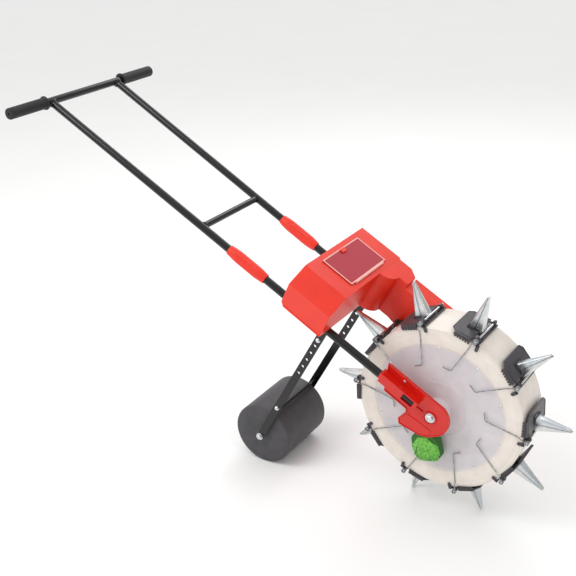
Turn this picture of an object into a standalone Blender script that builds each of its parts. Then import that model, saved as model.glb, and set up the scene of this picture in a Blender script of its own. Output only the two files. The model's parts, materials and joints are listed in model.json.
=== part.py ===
"""Push seeder: a hand-pushed planter with a duckbill wheel, a seed hopper and a press roller.

+X is forward, toward the seeding wheel, +Y is left and +Z is up. The seeder stands on two beaks
and the press roller at z = 0, with the origin under the middle of its length. Metres throughout.
"""
import math

import bmesh
import bpy
from mathutils import Matrix, Vector

# ---- clearances ----
FIT = 0.0003             # between pieces that touch
RUNNING_FIT = 0.0004     # between a pin and what turns on it

# ---- seeding wheel ----
WHEEL_RADIUS = 0.220
WHEEL_WIDTH = 0.121
RIM_THICKNESS = 0.004
DISC_THICKNESS = 0.003
STEP_RADIUS = 0.174      # where the disc steps in from its outer band
STEP_DEPTH = 0.0025
STEP_SLOPE = 0.003       # how far out the step runs as it rises
HUB_BORE = 0.014
HUB_COLLAR = 0.009       # solid ring between the bore and the seed windows
BOSS_RADIUS = 0.028
BOSS_LENGTH = 0.0175
BOSS_DRAFT = 0.002
FEED_OPENING = 0.062     # outer radius of the seed windows in the far disc
SPOKE_WIDTH = 0.014
VANE_THICKNESS = 0.003
VANE_ROOT = 0.008        # vane roots outside the seed windows
VANE_CORE = 0.003        # the star is cut away to this far outside the windows
METER_RADIUS = 0.052     # pocketed roller at the heart of the wheel
METER_HALF = 0.030
METER_POCKET = 0.009
POCKET_LAND = 0.28       # a land's half width, a pocket's start and its end, as shares of the pitch
POCKET_START = 0.38
POCKET_END = 0.62
SLOT_HALF_WIDTH = 0.011  # rim slot under each beak
SLOT_LEAD = 0.015
SLOT_TRAIL = 0.012
WHEEL_SIDES = 50

# ---- duckbill units ----
UNITS = 10
BEAK_LENGTH = 0.098      # from the rim to the tip
TIP_HALF = 0.0035        # half thickness of the closed tip
MOVING_TIP_SHORT = 0.003
BEAK_WALL = 0.002
BEAK_TAPER = ((0, 1, 1), (0.4, 0.84, 0.76), (0.86, 0.3, 0.2), (1, 0, 0))  # shares: length, width, depth
BEAK_HALF_WIDTH = 0.013
BEAK_TIP_HALF_WIDTH = 0.0045
FIXED_JAW_DEPTH = 0.021
MOVING_JAW_DEPTH = 0.017
SEAM = 0.0007            # half the gap between the jaws
PIN_RADIUS = 0.0026
PIN_HEIGHT = 0.010       # pin axis above the rim
PIN_LEAD = 0.024         # pin axis ahead of the beak's middle
BASE_THICKNESS = 0.0032
BAR_LEAD = 0.009         # the base's cross bar, ahead of the pin and behind it
BAR_TRAIL = 0.0055
PAD_MARGIN = 0.0025      # base pad outside the beak's width
MOUTH_MARGIN = 0.003     # beak mouth inside the beak's width
MOUTH_LEAD = 0.016
LUG_SETBACK = 0.004      # pin lug inside the drum's face
LUG_WIDTH = 0.006
PLATE_THICKNESS = 0.003
PLATE_REACH = 0.044      # trailing edge behind the beak's middle
PLATE_FRONT = 0.013      # leading edge ahead of the beak's middle
PLATE_CLIP = 0.012
PLATE_SETBACK = 0.0035   # plate edge inside the drum's face
PLATE_STANDOFF = 0.0065  # underside above the rim at the leading edge
PLATE_SLOPE = -0.02      # the underside's rise per length toward the back
SKIRT_DEPTH = 0.012      # near skirt, outside the drum, below the plate
SKIRT_THICKNESS = 0.0036
SKIRT_GAP = 0.0007
SKIRT_FRONT = -0.011
BACK_WALL = 0.0025
BACK_WALL_DEPTH = 0.003
EAR_RADIUS = 0.0055
WIRE_RADIUS = 0.0013
SPRING_RADIUS = 0.006
SPRING_LENGTH = 0.0105
SPRING_INSET = 0.0035    # how far the coil starts inside the drum's face
SPRING_REACH = 0.122     # radius at which the long wire leg turns
SPRING_TOE = 0.027       # where the leg's turned end stops

# ---- frame ----
TUBE_RADIUS = 0.0105
TUBE_WALL = 0.0015
TUBE_INCLINE = math.radians(30.6)
TUBE_RISE = 0.017        # height of the tube line over the wheel axle
BAR_SPREAD = 0.130       # half the tube spacing at the handle bar
TUBE_FRONT = -0.036      # stations along the tube line, measured from over the axle
SLEEVE_STATION = -0.590
BRACE_STATION = -0.749
BAR_STATION = -1.317
TUBE_JOINT = 0.002       # gap between the lower tube and the handle tube inside the sleeve
SLEEVE_LENGTH = 0.125
SLEEVE_RADIUS = 0.016
SLEEVE_END_WALL = 0.0025
BRACE_RADIUS = 0.009
BAR_HALF = 0.276
GRIP_LENGTH = 0.130
GRIP_RADIUS = 0.0155
GRIP_FLANGE = 0.0035      # how far the inner ring stands proud of the grip
GRIP_CAP = 0.004
GRIP_VENT = 0.003

# ---- hub brackets, shaft and brush ----
PLATE_OF_BRACKET = 0.006
BRACKET_GAP = 0.022      # between the near boss and the bracket plate
SHAFT_RADIUS = 0.008
SHAFT_HEAD_RADIUS = 0.013
SHAFT_HEAD_LENGTH = 0.0065
SOCKET_WALL = 0.0035
SOCKET_LENGTH = 0.114
WINDOW_REAR = 0.040      # socket window, measured back from the tube's front end
WINDOW_FRONT = 0.006
BRACKET_TOP = 0.034      # height of the bracket's top edge over the tube line
BRACKET_SLANT = 0.028    # how much shorter the arm is below the socket
BRACKET_BOSS_RADIUS = 0.018
NOSE_RADIUS = 0.0505
NOSE_START = math.radians(74)
NOSE_END = math.radians(-40)
NOSE_STEPS = 6
SKIRT_OUTLINE = ((0.025, -0.051), (0.003, -0.065), (-0.053, -0.078), (-0.063, -0.065), (-0.056, -0.035),
                 (-0.061, -0.026))
BRUSH_WIDTH = 0.076
BRUSH_HEIGHT = 0.080
BRUSH_THICKNESS = 0.028
BRUSH_CENTRE = (-0.017, -0.097)
BRUSH_TILT = math.radians(14)
BRUSH_CORNER = 0.018
BRUSH_HUB_GAP = 0.004

# ---- hopper, lid and duct ----
BEAK_CLEARANCE = 0.0095  # between the beak tips and the hopper's front
HOPPER_DEPTH = 0.130
HOPPER_TOP = 0.132
HOPPER_TOP_HALF = 0.140
HOPPER_SIDE_HALF = 0.185
HOPPER_SIDE_TOP = 0.090
HOPPER_FOOT_HALF = 0.172
HOPPER_HEEL = 0.010      # slope between the hopper's back and its floor
HOPPER_WALL = 0.003
LOBE_REACH = 0.068       # how far the outlet lobe runs forward beside the wheel
LOBE_GAP = 0.0075        # between the wheel's far face and the lobe
LOBE_OUTER = 0.134
LOBE_TURN = 0.040        # radius of the curve from the hopper's front into the lobe
LOBE_CORNER = 0.022      # the lobe's clipped front corner, across and along
LOBE_CORNER_ALONG = 0.026
LOBE_LAP = 0.004         # how far the lobe reaches into the hopper behind its front wall
SUMP_DEPTH = 0.028       # the low part of the hopper between the tubes
SUMP_WIDTH = 0.026
SUMP_REAR = 0.042
SUMP_FRONT = 0.028
LID_REAR_MARGIN = 0.016
LID_FRONT_MARGIN = 0.020
LID_HALF = 0.086
LID_THICKNESS = 0.003
LID_LIP = 0.006          # how far the lid overlaps its opening
LID_BARREL = 0.003
LID_BARREL_SHARE = 0.8   # of the lid's width
TAB_HALF = 0.010
TAB_LENGTH = 0.014
TAB_THICKNESS = 0.004
DUCT_TOP = 0.118
DUCT_GAP = 0.0035        # between the wheel's far face and the duct
DUCT_WIDTH = 0.028
DUCT_WALL = 0.003
CHANNEL_OUTER = 0.130    # the duct's wide upper channel, over the far bracket
CHANNEL_FLOOR = 0.038
CHANNEL_FRONT = -0.125
DUCT_HUB_RADIUS = 0.068
DUCT_TURN_STATION = -0.120  # where the duct's top edge turns down round the hub
DUCT_TURN_START = 68        # degrees, and the step of the round end
DUCT_TURN_STEP = 22

# ---- press roller ----
ROLLER_RADIUS = 0.089
ROLLER_HALF = 0.096
ROLLER_WALL = 0.005
ARM_SETBACK = 0.013      # arm centre behind the hopper's front
ARM_WIDTH = 0.022
ARM_THICKNESS = 0.004
ARM_HOLE_RADIUS = 0.004
ARM_HOLE_PITCH = 0.027
ARM_HOLES = 5
ARM_FIRST_HOLE = 0.077   # below the tube line
ARM_CHAMFER = 0.006
ROLLER_AXLE_RADIUS = 0.006
ROLLER_NUT_RADIUS = 0.0095
ROLLER_NUT_LENGTH = 0.0075
SCRAPER_WIDTH = 0.026
SCRAPER_THICKNESS = 0.0025
SCRAPER_GAP = 0.003

# ---- worked out from the above ----
PITCH = 2 * math.pi / UNITS
TIP_RADIUS = WHEEL_RADIUS + BEAK_LENGTH
AXLE_HEIGHT = TIP_RADIUS * math.cos(PITCH / 2) + TIP_HALF * math.sin(PITCH / 2)
ALONG = Vector((math.cos(TUBE_INCLINE), 0, -math.sin(TUBE_INCLINE)))
ABOVE = Vector((math.sin(TUBE_INCLINE), 0, math.cos(TUBE_INCLINE)))
BAR_REAR = BAR_STATION * math.cos(TUBE_INCLINE) - GRIP_RADIUS - GRIP_FLANGE
WHEEL_X = -(TIP_RADIUS + BAR_REAR) / 2
AXLE = Vector((WHEEL_X, 0, AXLE_HEIGHT))
TUBE_ORIGIN = AXLE + Vector((0, 0, TUBE_RISE))
AXLE_ON_TUBE = (TUBE_RISE * math.sin(TUBE_INCLINE), -TUBE_RISE * math.cos(TUBE_INCLINE))
HOPPER_FLOOR = TUBE_RADIUS + 2 * FIT
PIN_AT = WHEEL_RADIUS + PIN_HEIGHT
FACE = WHEEL_WIDTH / 2
BRACKET_INNER = FACE + BOSS_LENGTH + BRACKET_GAP
HUB_SPREAD = BRACKET_INNER + PLATE_OF_BRACKET + TUBE_RADIUS
DUCT_INNER = FACE + DUCT_GAP
DUCT_OUTER = DUCT_INNER + DUCT_WIDTH
LOBE_INNER = FACE + LOBE_GAP
HOPPER_FRONT = AXLE_ON_TUBE[0] - math.sqrt((TIP_RADIUS + BEAK_CLEARANCE) ** 2
                                           - (HOPPER_FLOOR - AXLE_ON_TUBE[1]) ** 2)
HOPPER_REAR = HOPPER_FRONT - HOPPER_DEPTH
LOBE_FRONT = HOPPER_FRONT + LOBE_REACH
LID_REAR = HOPPER_REAR + LID_REAR_MARGIN
LID_FRONT = HOPPER_FRONT - LID_FRONT_MARGIN
ARM_STATION = HOPPER_FRONT - ARM_SETBACK
ROLLER_DROP = (ROLLER_RADIUS - AXLE_HEIGHT - TUBE_RISE
               + ARM_STATION * math.sin(TUBE_INCLINE)) / math.cos(TUBE_INCLINE)


def clear_scene():
    """Start from nothing."""
    for item in list(bpy.data.objects):
        bpy.data.objects.remove(item)


def spread(station):
    """Half the spacing of the two tubes at a station along them."""
    share = (station - TUBE_FRONT) / (BAR_STATION - TUBE_FRONT)
    return HUB_SPREAD + share * (BAR_SPREAD - HUB_SPREAD)


def on_frame(station, y, height):
    """A point given along, across and square above the tube line."""
    return TUBE_ORIGIN + ALONG * station + ABOVE * height + Vector((0, y, 0))


def on_wheel(x, y, z):
    """A point given from the wheel axle."""
    return AXLE + Vector((x, y, z))


def on_unit(radius, y, trail):
    """A point of a duckbill unit, from its hinge pin, when the unit points along +X."""
    return Vector((radius - PIN_AT, y, trail + PIN_LEAD))


# ---- mesh tools ----
def mesh_from(points, faces):
    """A mesh whose faces all point out."""
    bm = bmesh.new()
    verts = [bm.verts.new(point) for point in points]
    for face in faces:
        bm.faces.new([verts[index] for index in face])
    bmesh.ops.recalc_face_normals(bm, faces=bm.faces)
    mesh = bpy.data.meshes.new("solid")
    bm.to_mesh(mesh)
    bm.free()
    return mesh


def loft(sections):
    """Closed loops with the same number of points, joined in order and capped."""
    count = len(sections[0])
    points = [point for section in sections for point in section]
    faces = [list(range(count)), list(range(len(points) - count, len(points)))]
    for row in range(len(sections) - 1):
        for index in range(count):
            after = (index + 1) % count
            low = row * count
            faces.append([low + index, low + after, low + count + after, low + count + index])
    return mesh_from(points, faces)


def prism(outline, y_low, y_high, place):
    """An outline of (first, second) pairs swept across the machine between two y values."""
    return loft([[place(a, y, b) for a, b in outline] for y in (y_low, y_high)])


def box(low, high, place):
    """A box between two corners, each given as (first, y, second)."""
    outline = [(low[0], low[2]), (high[0], low[2]), (high[0], high[2]), (low[0], high[2])]
    return prism(outline, low[1], high[1], place)


def lathe(profile, origin, axis, sides):
    """A profile of (radius, distance) pairs turned about an axis; radius 0 closes on the axis."""
    axis = Vector(axis).normalized()
    side = axis.cross(Vector((0, 0, 1)) if abs(axis.z) < 0.9 else Vector((1, 0, 0))).normalized()
    other = axis.cross(side)
    points = []
    rings = []
    for radius, distance in profile:
        centre = Vector(origin) + axis * distance
        turns = sides if radius > 0 else 1
        rings.append([len(points) + turn for turn in range(turns)])
        for turn in range(turns):
            angle = 2 * math.pi * turn / sides
            points.append(centre + radius * (side * math.cos(angle) + other * math.sin(angle)))
    faces = []
    for first, second in zip(rings, rings[1:] + rings[:1]):
        for turn in range(sides):
            corners = [first[turn % len(first)], first[(turn + 1) % len(first)],
                       second[(turn + 1) % len(second)], second[turn % len(second)]]
            face = list(dict.fromkeys(corners))
            if len(face) > 2:
                faces.append(face)
    return mesh_from(points, faces)


def rod(start, end, radius, sides, bore=0.0):
    """A round bar, or a tube when it has a bore."""
    length = (end - start).length
    if bore:
        profile = [(bore, 0), (radius, 0), (radius, length), (bore, length)]
    else:
        profile = [(0, 0), (radius, 0), (radius, length), (0, length)]
    return lathe(profile, start, end - start, sides)


def wire(path, radius, sides=6):
    """A bent wire along a path of points."""
    sections = []
    side = None
    for index, point in enumerate(path):
        before = path[max(index - 1, 0)]
        after = path[min(index + 1, len(path) - 1)]
        heading = (after - before).normalized()
        if side is None:
            side = heading.orthogonal().normalized()
        side = (side - heading * side.dot(heading)).normalized()
        other = heading.cross(side)
        angles = [2 * math.pi * turn / sides for turn in range(sides)]
        sections.append([point + radius * (side * math.cos(a) + other * math.sin(a)) for a in angles])
    return loft(sections)


def combine(base, extra=(), cutters=()):
    """Join the extra solids to the base and cut the cutters out of it, as one new mesh."""
    collection = bpy.context.scene.collection
    body = bpy.data.objects.new("body", base)
    collection.objects.link(body)
    helpers = [body]
    steps = [(mesh, "UNION") for mesh in extra] + [(mesh, "DIFFERENCE") for mesh in cutters]
    for mesh, operation in steps:
        helper = bpy.data.objects.new("helper", mesh)
        helper.hide_render = True
        helper.display_type = "WIRE"
        collection.objects.link(helper)
        helpers.append(helper)
        cut = body.modifiers.new(operation, "BOOLEAN")
        cut.operation = operation
        cut.solver = "EXACT"
        cut.object = helper
    depsgraph = bpy.context.evaluated_depsgraph_get()
    result = bpy.data.meshes.new_from_object(body.evaluated_get(depsgraph))
    for helper in helpers:
        bpy.data.objects.remove(helper)
    return result


# ---- finishes ----
FINISHES = {
    "red_abs": ((0.84, 0.075, 0.035), 0.35, 0.0),
    "white_nylon": ((0.72, 0.66, 0.60), 0.45, 0.0),
    "black_nylon": ((0.035, 0.035, 0.038), 0.5, 0.0),
    "black_enamel": ((0.012, 0.012, 0.013), 0.25, 0.0),
    "rubber": ((0.03, 0.03, 0.03), 0.75, 0.0),
    "zinc_steel": ((0.72, 0.73, 0.75), 0.25, 1.0),
    "green_nylon": ((0.16, 0.47, 0.06), 0.4, 0.0),
    "grey_plastic": ((0.045, 0.045, 0.048), 0.6, 0.0),
    "clear_lid": ((0.62, 0.10, 0.12), 0.1, 0.0),
}


def add_part(name, mesh, finish, location=(0, 0, 0), turn=0.0):
    """Put a named piece in the scene, turned about Y, with a material of its own."""
    colour, roughness, metallic = FINISHES[finish]
    material = bpy.data.materials.new(name + "_" + finish)
    material.use_nodes = True
    shader = material.node_tree.nodes["Principled BSDF"]
    shader.inputs["Base Color"].default_value = (*colour, 1)
    shader.inputs["Roughness"].default_value = roughness
    shader.inputs["Metallic"].default_value = metallic
    piece = bpy.data.objects.new(name, mesh)
    piece.location = location
    piece.rotation_euler = (0, turn, 0)
    bpy.context.scene.collection.objects.link(piece)
    if not mesh.materials:
        mesh.materials.append(material)
    piece.material_slots[0].link = "OBJECT"
    piece.material_slots[0].material = material
    mesh.shade_smooth()
    mesh.set_sharp_from_angle(angle=math.radians(35))
    return piece


def move_origin(piece, point):
    """Put a moving piece's origin on its joint axis and leave its shape where it is."""
    piece.data.transform(Matrix.Translation(-Vector(point)))
    piece.location = point


# ---- seeding wheel ----
def unit_angle(index):
    """Where a unit points, from +X toward +Z; the lowest two straddle the bottom."""
    return -index * PITCH


def make_discs():
    """The near disc with its hub boss, and the far disc with its seed windows and spokes."""
    outer = WHEEL_RADIUS - RIM_THICKNESS - FIT
    middle = FACE - STEP_DEPTH
    boss_end = FACE + BOSS_LENGTH
    within = STEP_SLOPE / 3
    shell = [(HUB_BORE, boss_end), (BOSS_RADIUS, boss_end), (BOSS_RADIUS + BOSS_DRAFT, middle),
             (STEP_RADIUS, middle), (STEP_RADIUS + STEP_SLOPE, FACE), (outer, FACE),
             (outer, FACE - DISC_THICKNESS), (STEP_RADIUS + STEP_SLOPE + within, FACE - DISC_THICKNESS),
             (STEP_RADIUS + within, middle - DISC_THICKNESS), (HUB_BORE, middle - DISC_THICKNESS)]
    near = lathe(shell, AXLE, (0, -1, 0), WHEEL_SIDES)
    move_origin(add_part("wheel_near_disc", near, "white_nylon"), AXLE)
    far = [(HUB_BORE, middle)] + shell[3:]
    ring = lathe(far, AXLE, (0, 1, 0), WHEEL_SIDES)
    windows = []
    inner = HUB_BORE + HUB_COLLAR
    for quarter in range(4):
        start = math.asin(SPOKE_WIDTH / 2 / inner) + quarter * math.pi / 2
        stop = (quarter + 1) * math.pi / 2 - math.asin(SPOKE_WIDTH / 2 / inner)
        angles = [start + (stop - start) * step / 5 for step in range(6)]
        arc = [(inner * math.cos(a), inner * math.sin(a)) for a in angles]
        arc += [(FEED_OPENING * math.cos(a), FEED_OPENING * math.sin(a)) for a in reversed(angles)]
        windows.append(prism(arc, FACE - 2 * STEP_DEPTH - DISC_THICKNESS, FACE + STEP_DEPTH, on_wheel))
    move_origin(add_part("wheel_far_disc", combine(ring, cutters=windows), "white_nylon"), AXLE)


def make_rim():
    """The band round the wheel, with a slot under each beak."""
    inner = WHEEL_RADIUS - RIM_THICKNESS
    past = 2 * RIM_THICKNESS
    band = [(inner, -FACE), (WHEEL_RADIUS, -FACE), (WHEEL_RADIUS, FACE), (inner, FACE)]
    slots = []
    for index in range(UNITS):
        slot = box((inner - past, -SLOT_HALF_WIDTH, -SLOT_LEAD),
                   (WHEEL_RADIUS + past, SLOT_HALF_WIDTH, SLOT_TRAIL), lambda a, y, b: Vector((a, y, b)))
        turn = Matrix.Rotation(-unit_angle(index), 4, "Y")
        slot.transform(Matrix.Translation(AXLE) @ turn)
        slots.append(slot)
    rim = combine(lathe(band, AXLE, (0, 1, 0), WHEEL_SIDES), cutters=slots)
    move_origin(add_part("wheel_rim", rim, "white_nylon"), AXLE)


def make_seed_divider():
    """The star of vanes inside the wheel that leads seed from the hub to each beak."""
    tip = (WHEEL_RADIUS - RIM_THICKNESS) * math.cos(math.pi / WHEEL_SIDES) - FIT
    root = FEED_OPENING + VANE_ROOT
    half = VANE_THICKNESS / 2
    outline = []
    for index in range(UNITS):
        angle = unit_angle(-index) + PITCH / 2
        for radius, side in ((root, -half), (tip, -half), (tip, half), (root, half)):
            outline.append((radius * math.cos(angle) - side * math.sin(angle),
                            radius * math.sin(angle) + side * math.cos(angle)))
    depth = FACE - STEP_DEPTH - DISC_THICKNESS - FIT
    star = prism(outline, -depth, depth, on_wheel)
    core = rod(on_wheel(0, -FACE, 0), on_wheel(0, FACE, 0), FEED_OPENING + VANE_CORE, 40)
    divider = combine(star, cutters=[core])
    move_origin(add_part("seed_divider", divider, "white_nylon"), AXLE)


def make_metering_roller():
    """The pocketed roller that lifts a few seeds at a time, one pocket for each beak."""
    outline = []
    for index in range(UNITS):
        for share, radius in ((-POCKET_LAND, METER_RADIUS), (POCKET_LAND, METER_RADIUS),
                              (POCKET_START, METER_RADIUS - METER_POCKET),
                              (POCKET_END, METER_RADIUS - METER_POCKET)):
            angle = (index + share) * PITCH
            outline.append((radius * math.cos(angle), radius * math.sin(angle)))
    body = prism(outline, -METER_HALF, METER_HALF, on_wheel)
    bore = rod(on_wheel(0, -FACE, 0), on_wheel(0, FACE, 0), SHAFT_RADIUS + 3 * RUNNING_FIT, 18)
    move_origin(add_part("metering_roller", combine(body, cutters=[bore]), "white_nylon"), AXLE)


def make_hub():
    """The fixed shaft through both brackets and the two bushes that the wheel turns on."""
    end = BRACKET_INNER + PLATE_OF_BRACKET + FIT
    profile = [(0, -end - SHAFT_HEAD_LENGTH), (SHAFT_HEAD_RADIUS, -end - SHAFT_HEAD_LENGTH),
               (SHAFT_HEAD_RADIUS, -end), (SHAFT_RADIUS, -end),
               (SHAFT_RADIUS, end + SHAFT_HEAD_LENGTH), (0, end + SHAFT_HEAD_LENGTH)]
    add_part("hub_shaft", lathe(profile, AXLE, (0, 1, 0), 18), "zinc_steel")
    spans = {"hub_bush_near": (-FACE - BOSS_LENGTH + 0.001, -FACE),
             "hub_bush_far": (FACE - STEP_DEPTH - DISC_THICKNESS, FACE - STEP_DEPTH)}
    for name, (start, stop) in spans.items():
        bush = rod(on_wheel(0, start, 0), on_wheel(0, stop, 0), HUB_BORE - FIT, 18,
                   SHAFT_RADIUS + RUNNING_FIT)
        move_origin(add_part(name, bush, "black_nylon"), AXLE)


# ---- duckbill units ----
def jaw(sign, root, tip, depth):
    """A folded steel half of the beak, a channel open toward the other half."""
    sections = []
    for share, width_share, depth_share in BEAK_TAPER:
        radius = root + (tip - root) * share
        width = BEAK_TIP_HALF_WIDTH + (BEAK_HALF_WIDTH - BEAK_TIP_HALF_WIDTH) * width_share
        back = TIP_HALF + (depth - TIP_HALF) * depth_share
        inside = width - BEAK_WALL
        floor = back - BEAK_WALL
        corners = [(SEAM, -width), (back, -width), (back, width), (SEAM, width),
                   (SEAM, inside), (floor, inside), (floor, -inside), (SEAM, -inside)]
        sections.append([on_unit(radius, y, sign * trail) for trail, y in corners])
    return loft(sections)


def fixed_jaw_mesh():
    """The leading half of the beak on its base, with the hinge pin and the pin's two lugs."""
    low = WHEEL_RADIUS + FIT
    high = low + BASE_THICKNESS
    front = -PIN_LEAD - BAR_LEAD
    bar_back = -PIN_LEAD + BAR_TRAIL
    back = FIT - SEAM * 2
    pad = BEAK_HALF_WIDTH + PAD_MARGIN
    mouth = BEAK_HALF_WIDTH - MOUTH_MARGIN
    bar_half = FACE - 2 * FIT
    outline = [(front, -bar_half), (bar_back, -bar_half), (bar_back, -pad), (back, -pad),
               (back, -mouth), (-MOUTH_LEAD, -mouth), (-MOUTH_LEAD, mouth), (back, mouth),
               (back, pad), (bar_back, pad), (bar_back, bar_half), (front, bar_half)]
    base = loft([[on_unit(radius, y, trail) for trail, y in outline] for radius in (low, high)])
    root = high - BASE_THICKNESS / 3
    lug_outer = FACE - LUG_SETBACK
    lug_inner = lug_outer - LUG_WIDTH
    lugs = []
    for y_low, y_high in ((-lug_outer, -lug_inner), (lug_inner, lug_outer)):
        lugs.append(box((root, y_low, -PIN_LEAD - EAR_RADIUS),
                        (PIN_AT + EAR_RADIUS, y_high, bar_back - BEAK_WALL / 2), on_unit))
    pin = rod(on_unit(PIN_AT, -FACE - SPRING_LENGTH + BEAK_WALL, -PIN_LEAD),
              on_unit(PIN_AT, lug_outer + BEAK_WALL, -PIN_LEAD), PIN_RADIUS, 8)
    beak = jaw(-1, root, TIP_RADIUS, FIXED_JAW_DEPTH)
    return combine(base, extra=[beak, pin] + lugs)


def plate_underside(trail):
    """How far out along the unit the press plate's underside is, at a distance behind the beak's middle."""
    return WHEEL_RADIUS + PLATE_STANDOFF + PLATE_SLOPE * (trail + PLATE_FRONT)


def plate_mesh():
    """The press plate, clipped at its back corners and notched round the beak."""
    half = FACE - PLATE_SETBACK
    notch = BEAK_HALF_WIDTH + MOUTH_MARGIN
    mouth = BEAK_HALF_WIDTH - MOUTH_MARGIN - 2 * FIT
    reach = MOVING_JAW_DEPTH - 2.5 * BEAK_WALL
    front = SEAM - FIT
    side = [(-PLATE_FRONT, half), (PLATE_REACH - PLATE_CLIP, half), (PLATE_REACH, half - PLATE_CLIP)]
    notched = [(reach, mouth), (front, mouth), (front, notch), (-PLATE_FRONT, notch)]
    outline = side + [(trail, -y) for trail, y in reversed(side)]
    outline += [(trail, -y) for trail, y in reversed(notched)] + notched
    return loft([[on_unit(plate_underside(trail) + lift, y, trail) for trail, y in outline]
                 for lift in (0, PLATE_THICKNESS)])


def ear_meshes():
    """The two ears that turn on the pin, each with a web to the plate."""
    outer = FACE - LUG_SETBACK - LUG_WIDTH - 2 * FIT
    inner = outer - LUG_WIDTH
    bore = PIN_RADIUS + RUNNING_FIT
    deck = plate_underside(-PLATE_FRONT)
    overlap = PLATE_THICKNESS / 3
    ears = []
    for y_low, y_high in ((-outer, -inner), (inner, outer)):
        ears.append(rod(on_unit(PIN_AT, y_low, -PIN_LEAD), on_unit(PIN_AT, y_high, -PIN_LEAD),
                        EAR_RADIUS, 10, bore))
        ears.append(box((deck + FIT, y_low + FIT, -PIN_LEAD + bore + overlap),
                        (deck + PLATE_THICKNESS + overlap, y_high - FIT, -PLATE_FRONT + EAR_RADIUS), on_unit))
    return ears


def skirt_meshes():
    """The low wall along the plate's back edge and the skirt that hangs outside the drum's near face."""
    back_half = FACE - PLATE_SETBACK - PLATE_CLIP - BACK_WALL
    root = plate_underside(PLATE_REACH) + PLATE_THICKNESS / 2
    wall = box((root - BACK_WALL_DEPTH - PLATE_THICKNESS / 2, -back_half, PLATE_REACH - BACK_WALL),
               (root, back_half, PLATE_REACH - FIT), on_unit)
    inner = -FACE - SKIRT_GAP
    outer = inner - SKIRT_THICKNESS
    back = PLATE_REACH - PLATE_CLIP
    low = plate_underside(SKIRT_FRONT) + FIT
    high = low + PLATE_THICKNESS - 3 * FIT
    lip = box((low, outer, SKIRT_FRONT), (high, FIT - FACE + PLATE_SETBACK, back), on_unit)
    skirt = box((low - SKIRT_DEPTH, outer, SKIRT_FRONT), (low + FIT, inner, back), on_unit)
    return [wall, lip, skirt]


def moving_jaw_mesh():
    """The press plate and the trailing half of the beak, one lever on two ears."""
    beak = jaw(1, plate_underside(0) + PLATE_THICKNESS / 3, TIP_RADIUS - MOVING_TIP_SHORT, MOVING_JAW_DEPTH)
    return combine(plate_mesh(), extra=[beak] + ear_meshes() + skirt_meshes())


def spring_mesh():
    """The torsion spring: a coil on the pin's near end and a long leg bent in over the disc."""
    near = -FACE + SPRING_INSET
    coil = rod(on_unit(PIN_AT, near - SPRING_LENGTH, -PIN_LEAD), on_unit(PIN_AT, near, -PIN_LEAD),
               SPRING_RADIUS, 10, PIN_RADIUS + RUNNING_FIT)
    level = -FACE - WIRE_RADIUS - 2 * RUNNING_FIT
    leg_root = -PIN_LEAD + SPRING_RADIUS - WIRE_RADIUS
    bend = 4 * WIRE_RADIUS
    path = [on_unit(PIN_AT, level, leg_root), on_unit(SPRING_REACH + bend, level, bend / 2),
            on_unit(SPRING_REACH, level, bend), on_unit(SPRING_REACH, level, SPRING_TOE)]
    return combine(coil, extra=[wire(path, WIRE_RADIUS)])


def make_units():
    """Ten duckbills round the rim; each piece's origin is on its hinge pin."""
    fixed = fixed_jaw_mesh()
    moving = moving_jaw_mesh()
    spring = spring_mesh()
    for index in range(UNITS):
        angle = unit_angle(index)
        radial = Vector((math.cos(angle), 0, math.sin(angle)))
        trailing = Vector((-math.sin(angle), 0, math.cos(angle)))
        pin = AXLE + radial * PIN_AT - trailing * PIN_LEAD
        label = "_{:02d}".format(index + 1)
        add_part("fixed_jaw" + label, fixed, "zinc_steel", pin, -angle)
        add_part("moving_jaw" + label, moving, "zinc_steel", pin, -angle)
        add_part("return_spring" + label, spring, "zinc_steel", pin, -angle)


# ---- frame ----
def tube_point(side, station, height=0.0):
    """A point on one tube's axis; side is -1 for the near tube and 1 for the far one."""
    return on_frame(station, side * spread(station), height)


def make_tubes():
    """Lower tubes, handle tubes and the sleeves that couple them."""
    bore = TUBE_RADIUS - TUBE_WALL
    inside = TUBE_RADIUS + RUNNING_FIT
    ends = TUBE_RADIUS + SLEEVE_END_WALL
    half = SLEEVE_LENGTH / 2
    profile = [(inside, -half), (ends, -half), (SLEEVE_RADIUS, -half / 2),
               (SLEEVE_RADIUS, half / 2), (ends, half), (inside, half)]
    for side, label in ((-1, "near"), (1, "far")):
        front = tube_point(side, TUBE_FRONT)
        top = tube_point(side, BAR_STATION + TUBE_RADIUS + 2 * FIT)
        lower = rod(tube_point(side, SLEEVE_STATION + TUBE_JOINT / 2), front, TUBE_RADIUS, 16, bore)
        upper = rod(top, tube_point(side, SLEEVE_STATION - TUBE_JOINT / 2), TUBE_RADIUS, 16, bore)
        middle = tube_point(side, SLEEVE_STATION)
        add_part("lower_tube_" + label, lower, "black_enamel")
        add_part("handle_tube_" + label, upper, "black_enamel")
        add_part("tube_sleeve_" + label, lathe(profile, middle, front - middle, 16), "red_abs")


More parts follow.
